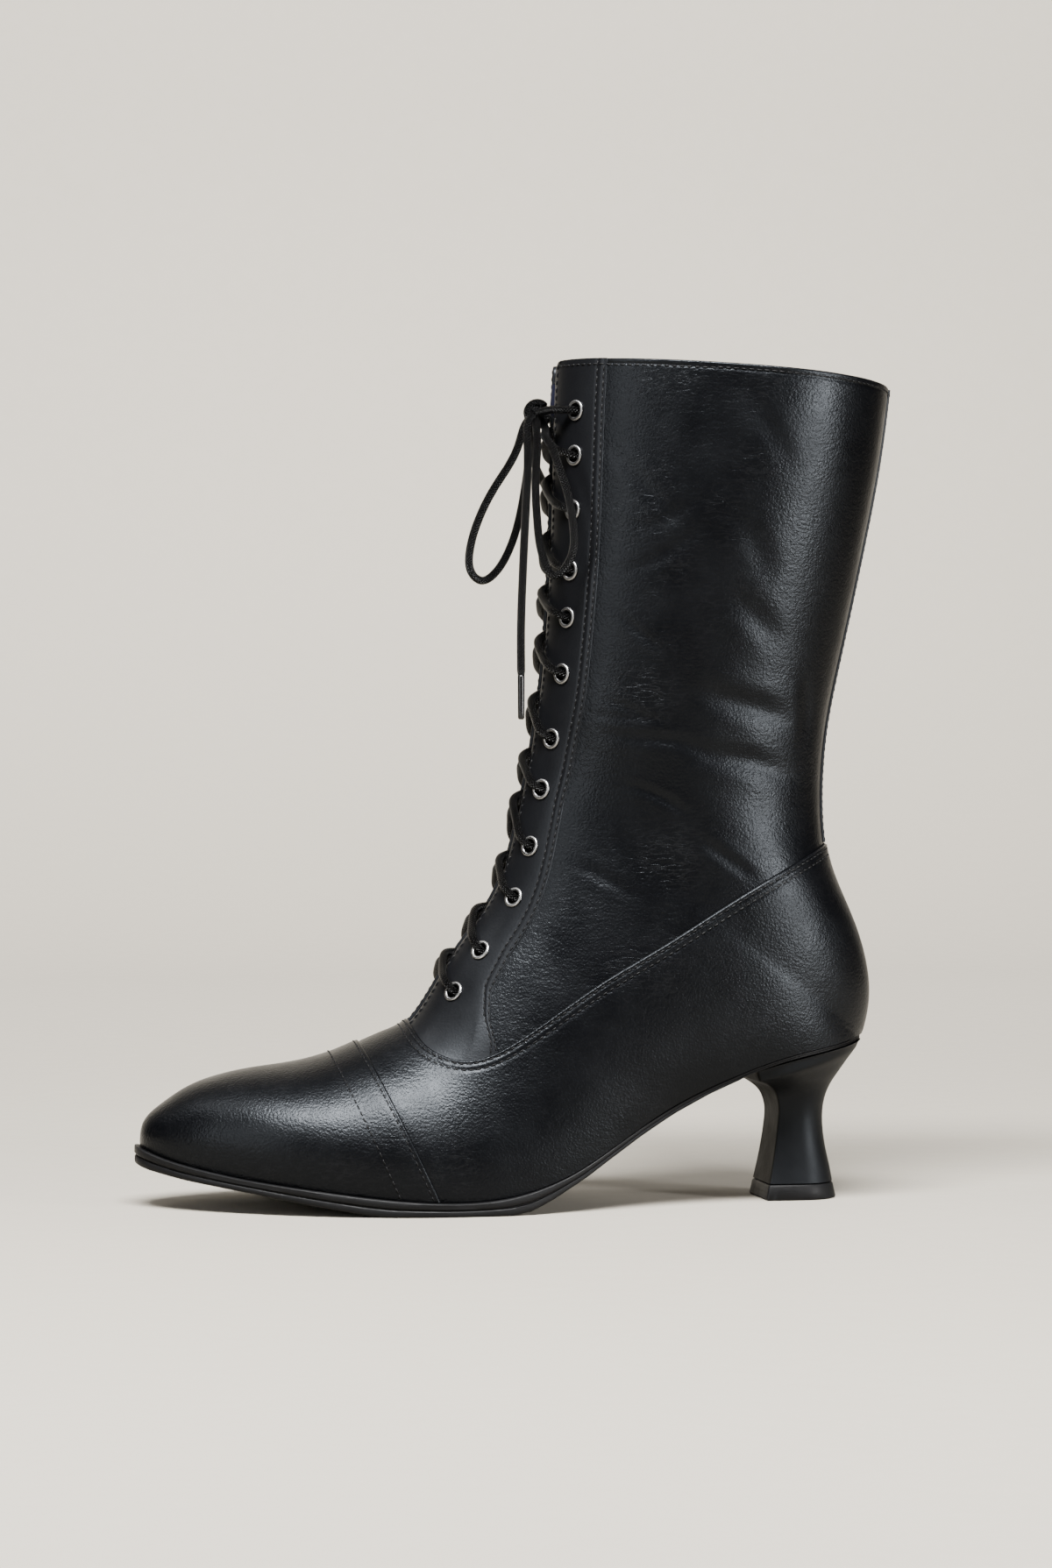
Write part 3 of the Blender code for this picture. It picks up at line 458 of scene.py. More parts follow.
def nearest(points, line):
    """Distance from each point to a dense line."""
    tree = KDTree(len(line))
    for i, place in enumerate(line):
        tree.insert(place, i)
    tree.balance()
    found = np.array([tree.find(point)[1] for point in points])
    best = np.full(len(points), np.inf)
    for step in (-1, 0):
        first = np.clip(found + step, 0, len(line) - 2)
        start = line[first]
        run = line[first + 1] - start
        share = ((points - start) * run).sum(axis=1) / np.maximum((run * run).sum(axis=1), 1e-12)
        foot = start + run * np.clip(share, 0.0, 1.0)[:, None]
        best = np.minimum(best, np.linalg.norm(points - foot, axis=1))
    return best


def smooth_line(route, step=1.0):
    """Points about one step apart on a smooth curve through route points."""
    route = np.array(route, float)
    knots = lengths_along(route)
    spots = np.linspace(0.0, knots[-1], max(int(knots[-1] / step), 2) + 1)
    return np.stack([curve(knots, column)(spots) for column in route.T], axis=-1)


def clear_selection():
    if bpy.context.object and bpy.context.object.mode != "OBJECT":
        bpy.ops.object.mode_set(mode="OBJECT")
    bpy.ops.object.select_all(action="DESELECT")


def make_active(piece):
    clear_selection()
    piece.select_set(True)
    bpy.context.view_layer.objects.active = piece


def edit_all(piece):
    """Edit mode on one piece with everything selected."""
    make_active(piece)
    bpy.ops.object.mode_set(mode="EDIT")
    bpy.ops.mesh.select_mode(type="VERT")
    bpy.ops.mesh.select_all(action="SELECT")


def object_mode():
    bpy.ops.object.mode_set(mode="OBJECT")


def link(name, data):
    """New object in the scene."""
    item = bpy.data.objects.new(name, data)
    bpy.context.scene.collection.objects.link(item)
    return item


def mesh_piece(name, verts, faces):
    mesh = bpy.data.meshes.new(name)
    mesh.from_pydata(verts, [], faces)
    return link(name, mesh)


def coordinates(piece):
    """Places of a piece's points in metres."""
    flat = np.empty(len(piece.data.vertices) * 3)
    piece.data.vertices.foreach_get("co", flat)
    return flat.reshape(-1, 3)


def add_grid(name, columns, rows):
    """New grid of that many cells, with the column and row number of each of its points."""
    clear_selection()
    bpy.ops.mesh.primitive_grid_add(x_subdivisions=columns, y_subdivisions=rows, size=2.0)
    piece = bpy.context.object
    piece.name = name
    piece.data.name = name
    place = (coordinates(piece)[:, :2] + 1) / 2
    return piece, np.rint(place[:, 0] * columns).astype(int), np.rint(place[:, 1] * rows).astype(int)


def lay(piece, points):
    """Moves a piece's points to places in millimetres."""
    piece.data.vertices.foreach_set("co", (np.asarray(points) * MM).astype(np.float32).ravel())
    piece.data.update()


def join(pieces):
    """Joins pieces into the first."""
    clear_selection()
    for piece in pieces:
        piece.select_set(True)
    bpy.context.view_layer.objects.active = pieces[0]
    if len(pieces) > 1:
        bpy.ops.object.join()
    return pieces[0]


def merge(pieces):
    """Joins pieces and merges the points that meet."""
    piece = join(pieces)
    edit_all(piece)
    bpy.ops.mesh.remove_doubles(threshold=0.02 * MM)
    bpy.ops.mesh.dissolve_degenerate(threshold=0.01 * MM)
    object_mode()
    return piece


def face_outwards(piece):
    edit_all(piece)
    bpy.ops.mesh.normals_make_consistent(inside=False)
    object_mode()


def close_ends(piece):
    edit_all(piece)
    bpy.ops.mesh.fill_holes(sides=0)
    object_mode()


def apply(piece, modifier):
    make_active(piece)
    bpy.ops.object.modifier_apply(modifier=modifier.name)


def thicken(piece, thickness, lined=False):
    """Gives a sheet a wall below its face; a lined one has its second material inside."""
    shell = piece.modifiers.new("Wall", "SOLIDIFY")
    shell.thickness = thickness * MM
    shell.offset = -1.0
    shell.material_offset = 1 if lined else 0
    apply(piece, shell)


def smooth(piece, degrees=45.0):
    make_active(piece)
    bpy.ops.object.shade_smooth_by_angle(angle=math.radians(degrees))


def round_rim(piece, near, offset):
    """Bevels the sharp edges whose ends all lie where near says."""
    edit_all(piece)
    bpy.ops.mesh.select_all(action="DESELECT")
    bpy.ops.mesh.select_mode(type="EDGE")
    bpy.ops.mesh.edges_select_sharp(sharpness=math.radians(50.0))
    object_mode()
    for edge in piece.data.edges:
        edge.select = edge.select and all(near[i] for i in edge.vertices)
    bpy.ops.object.mode_set(mode="EDIT")
    bpy.ops.mesh.bevel(offset=offset * MM, segments=3)
    object_mode()


def hand_over(piece, slot, *nodes):
    """Lets a finished piece ride on the boot and stand for its solids."""
    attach(piece, BODY)
    if nodes:
        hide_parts(*nodes)


def complete(piece, slot, node, finish_name, wall=0.0, angle=45.0):
    """Finish, wall and shading of a piece that stands for one solid."""
    piece.data.materials.append(named_finish(finish_name))
    if wall:
        thicken(piece, wall)
    smooth(piece, angle)
    hand_over(piece, slot, node)


def leather_sheet(name, columns, low, high, shares, lift):
    """Both halves of a layer over the last, merged along the ridge and the back.

    low and high are each column's first and last angle; lift gives the points' heights over the last.
    """
    halves = []
    for side in (LATERAL, MEDIAL):
        table = np.array([spread(s, a, b, side, shares) for s, a, b in zip(columns, low, high)])
        rows = table.shape[1] - 1
        piece, i, j = add_grid(name, len(columns) - 1, rows)
        if side == MEDIAL:
            j = rows - j
        s, psi = columns[i], table[i, j]
        base = last_point(s, psi, side)
        lay(piece, base + last_normal(s, psi, side) * lift(base, s, side)[:, None])
        halves.append(piece)
    return merge(halves)


def roll(distance, low, full, radius):
    """Height of a folded edge that rounds up from low to full over a radius."""
    q = np.clip(1 - distance / radius, 0.0, 1.0)
    return low + (full - low) * np.sqrt(1 - q ** 2)


def sewn(distance, rows, depth=0.22, width=0.5):
    """Furrow that rows of stitches pull into the leather."""
    return -depth * sum(np.exp(-((distance - row) / width) ** 2) for row in rows)


def trough(q):
    """Soft trough with low shoulders, 1 deep at q = 0."""
    return (1 - q ** 2) * np.exp(-q ** 2 / 1.3)


def crease_height(points, side):
    """Height that the shaft's creases take from each point, mirrored and softer on the inner side."""
    shift = np.zeros(2) if side == LATERAL else np.array((3.0, 6.0))
    strength = 1.0 if side == LATERAL else 0.8
    flat = points[:, (0, 2)]
    height = np.zeros(len(points))
    for crease in SHAFT_CREASES:
        line = smooth_line(np.array(crease.line) + shift)
        margin = 4 * crease.width
        inside = (flat > line.min(axis=0) - margin) & (flat < line.max(axis=0) + margin)
        near = np.flatnonzero(inside.all(axis=1))
        if not len(near):
            continue
        gap = np.linalg.norm(flat[near, None, :] - line[None, :, :], axis=2)
        along = gap.argmin(axis=1) / (len(line) - 1)
        taper = np.sin(math.pi * along) ** 1.3
        height[near] -= strength * crease.depth * taper * trough(gap.min(axis=1) / crease.width)
    return height


def galosh_end():
    """Section row where the galosh's top seam meets the back line."""
    def above(s):
        point = surface(s, 0.0, LATERAL, 1.0)
        return point[..., 2] - GALOSH_TOP(point[..., 0])

    return float(solve(above, 19.0, 25.0))


def galosh_point():
    """Section row where the galosh's top seam crosses the ridge."""
    return float(solve(lambda s: FRONT[2](s) - GALOSH_TOP(FRONT[0](s)), THROAT_ROW, THROAT_ROW + 1.0))


def side_place(x, z):
    """Section rows and angles of places in side view."""
    def ahead(s):
        foot_x, foot_z = FOOT[0](s), FOOT[2](s)
        return (z - foot_z) * (FRONT[0](s) - foot_x) - (x - foot_x) * (FRONT[2](s) - foot_z)

    s = solve(ahead, np.full_like(x, 2.0), np.full_like(x, COLLAR_ROW))
    rise_x, rise_z = FRONT[0](s) - FOOT[0](s), FRONT[2](s) - FOOT[2](s)
    t = ((x - FOOT[0](s)) * rise_x + (z - FOOT[2](s)) * rise_z) / (rise_x ** 2 + rise_z ** 2)
    share = WIDEST(s)
    cosine = np.where(t < share, 1 - t / share, (share - t) / (1 - share))
    return s, np.arccos(np.clip(cosine, -1.0, 1.0))


# smoothing of the counter: passes, their shares, fade at its edges and reach round the back corner
CALM_PASSES = 250
CALM_SHARES = (0.5, -0.505)
CALM_FADE = 14.0
CALM_REACH = 20.0


def calm(table, side):
    """Columns of points with short waves taken out round the back corner of the heel, its edges kept."""
    flat = table.reshape(-1, 3)
    corner = last_point(HEEL_ROW, np.linspace(0.0, 2.6, 160), side)
    above = np.clip((flat[:, 2] - FEATHER(flat[:, 0])) / CALM_FADE, 0.0, 1.0)
    below = np.clip((GALOSH_TOP(flat[:, 0]) - flat[:, 2]) / CALM_FADE, 0.0, 1.0)
    soft = ease(above) * below * np.exp(-(nearest(flat, corner) / CALM_REACH) ** 2)
    weight = soft.reshape(table.shape[:2])[1:-1, :, None]
    table = table.copy()
    for _ in range(CALM_PASSES):
        for share in CALM_SHARES:
            bend = (table[:-2] + table[2:]) / 2 - table[1:-1]
            table[1:-1] += share * weight * bend
    return table


def galosh_front():
    """Section rows and angles of the seam from the ridge down to its lowest sweep."""
    x = np.linspace(FRONT[0](galosh_point()), SEAM_TURN, 240)
    s, psi = side_place(x, GALOSH_TOP(x))
    psi[0] = math.pi
    psi[-1] = galosh_angle(s[-1])
    return s, psi


def galosh_seam(lift):
    """Top seam from the back along the outer side, over the ridge and back along the inner side."""
    front, front_psi = galosh_front()
    rear = np.linspace(front[-1], galosh_end(), 420)[1:]
    s = np.concatenate([front, rear])
    psi = np.concatenate([front_psi, galosh_angle(rear)])
    return np.concatenate([surface(s, psi, LATERAL, lift)[::-1], surface(s, psi, MEDIAL, lift)[1:]])


def cap_seam(row, lift):
    """Line across the foot at a section row, from feather edge to feather edge."""
    low = float(feather_angle(row, lift))
    outer = spread(row, low, math.pi, LATERAL, even(120))
    inner = spread(row, low, math.pi, MEDIAL, even(120))
    return np.concatenate([
        surface(row, outer, LATERAL, lift), surface(row, inner, MEDIAL, lift)[-2::-1]])


class FrontArc:
    """Lengths along one section's surface from the front line backwards."""

    def __init__(self, s, side):
        self.angles = np.linspace(math.pi, math.pi * 0.45, 90)
        line = last_point(s, self.angles, side)
        self.lengths = lengths_along(line)
        self.offsets = np.abs(line[:, 1] - line[0, 1])

    def angle(self, length):
        return np.interp(length, self.lengths, self.angles)

    def length_at(self, angle):
        return np.interp(-angle, -self.angles, self.lengths)

    def throat(self):
        return np.interp(THROAT_HALF, self.offsets, self.lengths)


# round of the eyestay's top corner, its rear edge and stitch rows, and the band that holds these rows
CORNER = 3.5
CORNER_STEP = 15.0
EYESTAY_ROLL = 0.9
REAR_ROWS = (0.9, 3.5)
REAR_BAND = 5.2
REAR_STEPS = (4.6, 4.0, 3.5, 3.0, 2.4, 1.9, 1.4, 0.9, 0.6, 0.35, 0.15, 0.0)
THROAT_STITCH = 2.4
FROM_THROAT, FROM_REAR, FROM_QUARTER = range(3)


def throat_start(s, arc):
    """Arc length of the throat's edge, rounded off below the collar."""
    below = (COLLAR_ROW - s) * CORNER_STEP
    corner = CORNER - math.sqrt(max(CORNER ** 2 - max(CORNER - below, 0.0) ** 2, 0.0))
    return arc.throat() + corner


def eyestay_profile():
    """Closed cross-section: rows of (edge to count from, share of the width, offset, height)."""
    lift = size("eyestay_lift")
    thick = size("eyestay_thickness")
    nose = thick / 2
    rows = []
    for angle in np.linspace(-math.pi / 2, math.pi / 2, 11):
        height = lift - nose + nose * math.sin(angle)
        rows.append((FROM_THROAT, 0.0, nose - nose * math.cos(angle), height))
    for share in np.linspace(0.08, 0.8, 12):
        rows.append((FROM_THROAT, share, nose * (1 - share), lift))
    for back in REAR_STEPS:
        height = float(roll(back, 0.06, lift, EYESTAY_ROLL) + sewn(np.array(back), REAR_ROWS, 0.2))
        rows.append((FROM_REAR, 1.0, -back, height))
    rows.append((FROM_REAR, 1.0, -0.4, 0.03))
    rows.append((FROM_QUARTER, 0.0, 1.0, 0.03))
    rows.append((FROM_QUARTER, 0.0, 0.0, lift - thick))
    rows.append((FROM_THROAT, 0.0, nose + 2.0, lift - thick))
    rows.append(rows[0])
    return rows


def eyestay_arc(s, side, row):
    """Angle of one profile row at a section."""
    arc = FrontArc(s, side)
    start, share, offset, height = row
    if start == FROM_QUARTER:
        return arc.angle(arc.length_at(setback_angle(s, QUARTER_SETBACK)) + offset)
    rear = arc.length_at(setback_angle(s, ramp(EYESTAY_EDGE)(s)))
    if start == FROM_REAR:
        return arc.angle(rear + offset)
    first = throat_start(s, arc)
    return arc.angle(first + (rear - REAR_BAND - first) * share + offset)


def eyestay_low_end(side, row):
    """Section row where a profile row passes under the galosh."""
    def above(s):
        x, y, z = last_point(s, eyestay_arc(s, side, row), side)
        return z - GALOSH_TOP(x) + 1.6

    return float(solve(above, THROAT_ROW - 0.6, 13.0, 30))


def eyestay_line(side, row, shares):
    """Line of one profile row from the galosh to the collar, and its normals."""
    start = eyestay_low_end(side, row)
    s = start + (COLLAR_ROW - start) * shares
    psi = np.array([eyestay_arc(one, side, row) for one in s])
    return surface(s, psi, side, row[3]), last_normal(s, psi, side)


def eyelet_place(height, side):
    """Section row, angle, point on the last and outward direction of an eyelet at a height."""
    def above(s):
        return last_point(s, setback_angle(s, EYELET_SETBACK), side)[..., 2] - height

    s = float(solve(above, THROAT_ROW, COLLAR_ROW))
    psi = float(setback_angle(s, EYELET_SETBACK))
    return s, psi, last_point(s, psi, side), last_normal(s, psi, side)


def eyelet_frame(height, side, out):
    s, psi, point, normal = eyelet_place(height, side)
    turn = Vector(normal).to_track_quat("Z", "Y").to_matrix().to_4x4()
    return Matrix.Translation(Vector(point + normal * out) * MM) @ turn


def outsole_under(x):
    """Height of the outsole's underside, which follows the feather edge over the heel."""
    seat = FEATHER(x) - SEAM_GAP - SEAT_THICK
    return np.where(x > OUTSOLE[-1][0], seat, np.minimum(ramp(OUTSOLE)(x), seat))


def foot_stations(count):
    """Feather edge in plan at stations from toe to heel, and its outward normals, for both sides."""
    toe = float(solve(lambda s: FEATHER(FOOT[0](s)) - FOOT[2](s), 0.0, 1.0))
    share = 0.5 - 0.5 * np.cos(np.linspace(0.0, math.pi, count + 1))
    s = toe + (HEEL_ROW - toe) * share ** 1.15
    angle = feather_angle(s)
    outer = last_point(s, angle, LATERAL)[:, :2]
    inner = last_point(s, angle, MEDIAL)[:, :2]
    loop = np.concatenate([outer, inner[-2:0:-1]])
    edge = unit(np.roll(loop, -1, axis=0) - np.roll(loop, 1, axis=0))
    normal = np.stack([edge[:, 1], -edge[:, 0]], axis=1)
    back = np.concatenate([[0], np.arange(len(loop) - 1, count - 1, -1)])
    return {LATERAL: (outer, normal[:count + 1]), MEDIAL: (inner, normal[back])}


def foot_slab(name, levels, reach, height, across=8, count=150):
    """Closed layer under the foot.

    levels are (share of the height, inset); reach(x, inset) is the width beyond the feather edge and
    height(x, share) the level's z.
    """
    stations = foot_stations(count)

    def ring(side, share, inset):
        plan, normal = stations[side]
        flat = plan + normal * reach(plan[:, 0], inset)[:, None]
        return np.column_stack([flat, height(flat[:, 0], share)])

    def between(start, end, share):
        """Rows from one side to the other at one level."""
        rows = [start * (1 - step) + end * step for step in np.linspace(0.0, 1.0, across + 1)[1:-1]]
        return [np.column_stack([row[:, :2], height(row[:, 0], share)]) for row in rows]

    outer, inner = ([ring(side, *level) for level in levels] for side in (LATERAL, MEDIAL))
    under = between(outer[-1], inner[-1], levels[-1][0])
    over = between(inner[0], outer[0], levels[0][0])
    table = np.stack([*outer, *under, *inner[::-1], *over, outer[0]])
    piece, i, j = add_grid(name, count, len(table) - 1)
    lay(piece, table[j, i])
    merge([piece])
    face_outwards(piece)
    return piece


# heel outline: flat share of the breast's half-width, share taken by its round corner, and their depth
BREAST_FLAT = 0.86
BREAST_CORNER = 0.07
BREAST_DEPTH = 0.05


def heel_half(level):
    """Half outline of a heel level from the middle of the breast to the back, sides as shares."""
    length = level.back_x - level.breast_x
    belly = level.breast_x + length * level.belly
    depth = BREAST_DEPTH * length
    start = level.breast_x + depth
    half = [(level.breast_x, y) for y in np.linspace(0.0, BREAST_FLAT, 9)]
    for t in (0.25, 0.5, 0.75, 1.0):
        half.append((level.breast_x + depth * t ** 2, BREAST_FLAT + BREAST_CORNER * (1 - (1 - t) ** 2)))
    for t in np.linspace(0.0, 1.0, 12)[1:-1]:
        half.append((start + (belly - start) * t, 1 - BREAST_CORNER * (1 - t) ** 2))
    for angle in np.linspace(math.pi / 2, 0.0, 24):
        half.append((belly + (level.back_x - belly) * math.cos(angle), math.sin(angle)))
    return np.array(half), length


def heel_ring(level, seat=None, mix=0.0):
    """Whole outline of a heel level, mixed with the seat's height near its top."""
    half, length = heel_half(level)
    outline = np.concatenate([half * (1, -1), half[-2:0:-1]])
    x, y = outline[:, 0], outline[:, 1] * level.half
    px = x * math.cos(HEEL_TWIST) - y * math.sin(HEEL_TWIST)
    py = x * math.sin(HEEL_TWIST) + y * math.cos(HEEL_TWIST)
    z = level.breast_z + (level.back_z - level.breast_z) * (x - level.breast_x) / length
    if seat:
        z = z * (1 - mix) + seat(px) * mix
    return np.column_stack([px, py, z])


def ring_stack(name, rings):
    """Closed solid from rings of points, the lowest first."""
    table = np.array([np.vstack([ring, ring[:1]]) for ring in rings])
    piece, i, j = add_grid(name, table.shape[1] - 1, len(rings) - 1)
    lay(piece, table[j, i])
    merge([piece])
    close_ends(piece)
    face_outwards(piece)
    return piece


# direction that no cord starts along
OFF_AXIS = (0.31, 0.52, 0.79)


def tube(name, line, radius, sides=12):
    """Round cord along a line, with a map that runs round it and along it in turns of its girth."""
    line = np.asarray(line, float)
    radius = np.broadcast_to(np.asarray(radius, float), len(line))
    tangent = unit(np.gradient(line, axis=0))
    across = np.cross(tangent[0], OFF_AXIS)
    angles = np.linspace(0.0, 2 * math.pi, sides, endpoint=False)
    verts = []
    for centre, r, direction in zip(line, radius, tangent):
        across = unit(across - direction * np.dot(across, direction))
        up = np.cross(direction, across)
        verts += [(centre + r * (across * math.cos(t) + up * math.sin(t))) * MM for t in angles]
    faces = []
    last = (len(line) - 1) * sides
    for k in range(0, last, sides):
        for i in range(sides):
            j = (i + 1) % sides
            faces.append((k + i, k + j, k + sides + j, k + sides + i))
    faces.append(tuple(range(sides - 1, -1, -1)))
    faces.append(tuple(range(last, last + sides)))
    piece = mesh_piece(name, verts, faces)
    length = lengths_along(line)
    girth = 2 * math.pi * radius.max()
    chart = piece.data.uv_layers.new(name="Braid")
    for polygon in piece.data.polygons:
        whole_turn = polygon.vertices[0] % sides == sides - 1
        for loop, vertex in zip(polygon.loop_indices, polygon.vertices):
            turn = vertex % sides
            if whole_turn and turn == 0:
                turn = sides
            chart.data[loop].uv = (turn / sides, length[vertex // sides] / girth)
    return piece


# shares along one stitch, with its heights and radii there in radii of the thread
STITCH_SHARES = np.array((0.0, 0.12, 0.35, 0.65, 0.88, 1.0))
STITCH_HEIGHTS = np.array((-0.9, 0.1, 0.55, 0.55, 0.1, -0.9))
STITCH_RADII = np.array((0.55, 0.9, 1.0, 1.0, 0.9, 0.55))
STITCH_SIDES = 6


def sew(name, rows):
    """Joined stitches along lines of points with normals; each one dips into the leather."""
    length, pitch, thread = size("stitch"), size("stitch_pitch"), size("thread")
    heights, radii = STITCH_HEIGHTS * thread, STITCH_RADII * thread
    ring = np.linspace(0.0, 2 * math.pi, STITCH_SIDES, endpoint=False)
    last = (len(STITCH_SHARES) - 1) * STITCH_SIDES
    verts, faces = [], []
    for line, normals in rows:
        run = lengths_along(line)
        for number in range(int((run[-1] - length) / pitch) + 1):
            spots = number * pitch + STITCH_SHARES * length
            spine = np.stack([np.interp(spots, run, column) for column in line.T], axis=1)
            up = unit(np.stack([np.interp(spots, run, column) for column in normals.T], axis=1))
            aside = np.cross(unit(np.gradient(spine, axis=0)), up)
            first = len(verts)
            for k in range(len(STITCH_SHARES)):
                centre = spine[k] + up[k] * heights[k]
                for turn in ring:
                    spoke = aside[k] * math.cos(turn) + up[k] * math.sin(turn)
                    verts.append((centre + radii[k] * spoke) * MM)
            for k in range(first, first + last, STITCH_SIDES):
                for i in range(STITCH_SIDES):
                    j = (i + 1) % STITCH_SIDES
                    faces.append((k + i, k + STITCH_SIDES + i, k + STITCH_SIDES + j, k + j))
            faces.append(tuple(range(first, first + STITCH_SIDES)))
            faces.append(tuple(range(first + last + STITCH_SIDES - 1, first + last - 1, -1)))
    piece = mesh_piece(name, verts, faces)
    face_outwards(piece)
    smooth(piece, 60.0)
    piece.data.materials.append(named_finish("Thread"))
    hand_over(piece, "lace_cord")


def on_pieces(line, *pieces):
    """A line laid onto the nearest surface of some pieces, with normals."""
    spots, faces = [], []
    for piece in pieces:
        first = len(spots)
        spots += [v.co for v in piece.data.vertices]
        faces += [tuple(first + i for i in p.vertices) for p in piece.data.polygons]
    tree = BVHTree.FromPolygons(spots, faces)
    points, normals = [], []
    for place in line:
        spot, normal, number, gap = tree.find_nearest(Vector(place) * MM)
        points.append(np.array(spot) / MM)
        normals.append(np.array(normal))
    return np.array(points), np.array(normals)


COOL_GLOSS = (0.85, 0.92, 1.0, 1.0)

# colour, roughness, and heights of the wrinkles and of the grain
LEATHERS = {
    "Shaft leather": ("leather", 0.33, 0.1, 0.13),
    "Vamp leather": ("leather", 0.34, 0.06, 0.14),
    "Facing leather": ("facing", 0.36, 0.015, 0.035),
}

# colour, roughness, scale and strength of the bump, and other sockets
PLAIN_FINISHES = {
    "Lining leather": ("lining", 0.75, 900.0, 0.3, {"Specular IOR Level": 0.1}),
    "Tongue leather": ("tongue", 0.6, 1100.0, 0.35, {"Specular IOR Level": 0.12}),
    "Heel cover": ("leather", 0.5, 500.0, 0.2, {"Specular IOR Level": 0.11, "Specular Tint": COOL_GLOSS}),
    "Heel breast": ("breast", 0.55, 420.0, 0.4, {"Specular IOR Level": 0.08}),
    "Eyelet metal": ("metal", 0.3, 1600.0, 0.15, {"Metallic": 1.0}),
    "Thread": ("thread", 0.5, 4000.0, 0.3, {"Specular IOR Level": 0.1}),
    "Aglet": ("aglet", 0.22, 900.0, 0.1, {"Specular IOR Level": 0.3}),
    "Paper": ("paper", 0.85, 300.0, 0.05, {}),
}


def put(tree, kind, inputs=None, **settings):
    """New shader node with its settings, input values and links."""
    item = tree.nodes.new("ShaderNode" + kind)
    for key, value in settings.items():
        setattr(item, key, value)
    for key, value in (inputs or {}).items():
        if isinstance(value, bpy.types.NodeSocket):
            tree.links.new(value, item.inputs[key])
        else:
            item.inputs[key].default_value = value
    return item


def new_finish(name, colour, roughness, sockets):
    """Material with a plain shader in one of the boot's colours, and its other socket values."""
    material = bpy.data.materials.new(name)
    material.use_nodes = True
    tree = material.node_tree
    shader = tree.nodes["Principled BSDF"]
    shader.inputs["Base Color"].default_value = (*finish(colour), 1.0)
    shader.inputs["Roughness"].default_value = roughness
    for key, value in sockets.items():
        shader.inputs[key].default_value = value
    return material, tree, shader


def uneven_roughness(tree, shader, coords, scale, low, high):
    cloud = put(tree, "TexNoise", {"Vector": coords, "Scale": scale, "Detail": 4.0, "Roughness": 0.6})
    spread_out = put(tree, "MapRange", {
        "Value": cloud.outputs["Fac"], "From Min": 0.3, "From Max": 0.7, "To Min": low, "To Max": high})
    tree.links.new(spread_out.outputs["Result"], shader.inputs["Roughness"])


def drawn_noise(tree, coords, turn, stretch, scale):
    """Noise drawn out along one direction of the side view."""
    lean = put(tree, "Mapping", {
        "Vector": coords, "Rotation": (0.0, math.radians(turn), 0.0), "Scale": (1.0 / stretch, 0.6, 1.0)})
    cloud = put(tree, "TexNoise", {
        "Vector": lean.outputs["Vector"], "Scale": scale, "Detail": 2.0, "Roughness": 0.5,
        "Distortion": 0.5})
    return cloud.outputs["Fac"]


def soft_patches(tree, coords, scale, low, high):
    cloud = put(tree, "TexNoise", {"Vector": coords, "Scale": scale, "Detail": 2.0})
    patch = put(tree, "MapRange", {"Value": cloud.outputs["Fac"], "From Min": low, "From Max": high},
                interpolation_type="SMOOTHSTEP")
    return patch.outputs["Result"]


def leather_finish(name, colour, rough, wrinkles, grain):
    """Black leather: pebbled grain, patches of fine wrinkles whose ridges carry a painted highlight, uneven
    wax.

    wrinkles and grain are the heights of both reliefs in millimetres.
    """
    material, tree, shader = new_finish(
        name, colour, rough, {"Specular IOR Level": 0.11, "Specular Tint": COOL_GLOSS})
    coords = put(tree, "TexCoord").outputs["Object"]
    waver = put(tree, "TexNoise", {"Vector": coords, "Scale": 420.0, "Detail": 1.0})
    shifted = put(tree, "MixRGB", {0: 0.0012, 1: coords, 2: waver.outputs["Color"]}, blend_type="ADD")
    pebble = put(tree, "TexVoronoi", {"Vector": shifted.outputs["Color"], "Scale": 1350.0},
                 feature="SMOOTH_F1")
    pores = put(tree, "TexNoise", {"Vector": coords, "Scale": 3000.0, "Detail": 2.0})
    skin = put(tree, "Mix", {0: 0.3, 2: pebble.outputs["Distance"], 3: pores.outputs["Fac"]})
    skin_bump = put(tree, "Bump", {
        "Height": skin.outputs[0], "Strength": 1.0, "Distance": grain * MM}, invert=True)
    falling = drawn_noise(tree, coords, 40.0, 4.0, 740.0)
    rising = drawn_noise(tree, coords, -32.0, 4.0, 690.0)
    family = soft_patches(tree, coords, 20.0, 0.44, 0.56)
    creased = put(tree, "Mix", {0: family, 2: falling, 3: rising}).outputs[0]
    middle = put(tree, "Math", {0: creased, 1: 0.5}, operation="SUBTRACT")
    away = put(tree, "Math", {0: middle.outputs["Value"]}, operation="ABSOLUTE")
    ridge = put(tree, "MapRange", {
        "Value": away.outputs["Value"], "From Min": 0.0, "From Max": 0.04, "To Min": 1.0, "To Max": 0.0},
        interpolation_type="SMOOTHSTEP")
    bent = soft_patches(tree, coords, 32.0, 0.34, 0.82)
    shown = put(tree, "Math", {0: ridge.outputs["Result"], 1: bent}, operation="MULTIPLY")
    relief = put(tree, "Math", {0: shown.outputs["Value"], 1: 0.28, 2: creased}, operation="MULTIPLY_ADD")
    wrinkle_bump = put(tree, "Bump", {
        "Height": relief.outputs["Value"], "Strength": 1.0, "Distance": wrinkles * MM,
        "Normal": skin_bump.outputs["Normal"]})
    tree.links.new(wrinkle_bump.outputs["Normal"], shader.inputs["Normal"])
    # painted highlight: where the mask shows wrinkle ridges the colour turns lighter, standing in for the
    # light they catch
    sheened = put(tree, "Mix", {
        0: shown.outputs["Value"], 6: (*finish(colour), 1.0), 7: (*finish("ridge_sheen"), 1.0)},
        data_type="RGBA")
    tree.links.new(sheened.outputs[2], shader.inputs["Base Color"])
    uneven_roughness(tree, shader, coords, 60.0, rough - 0.05, rough + 0.06)
    return material


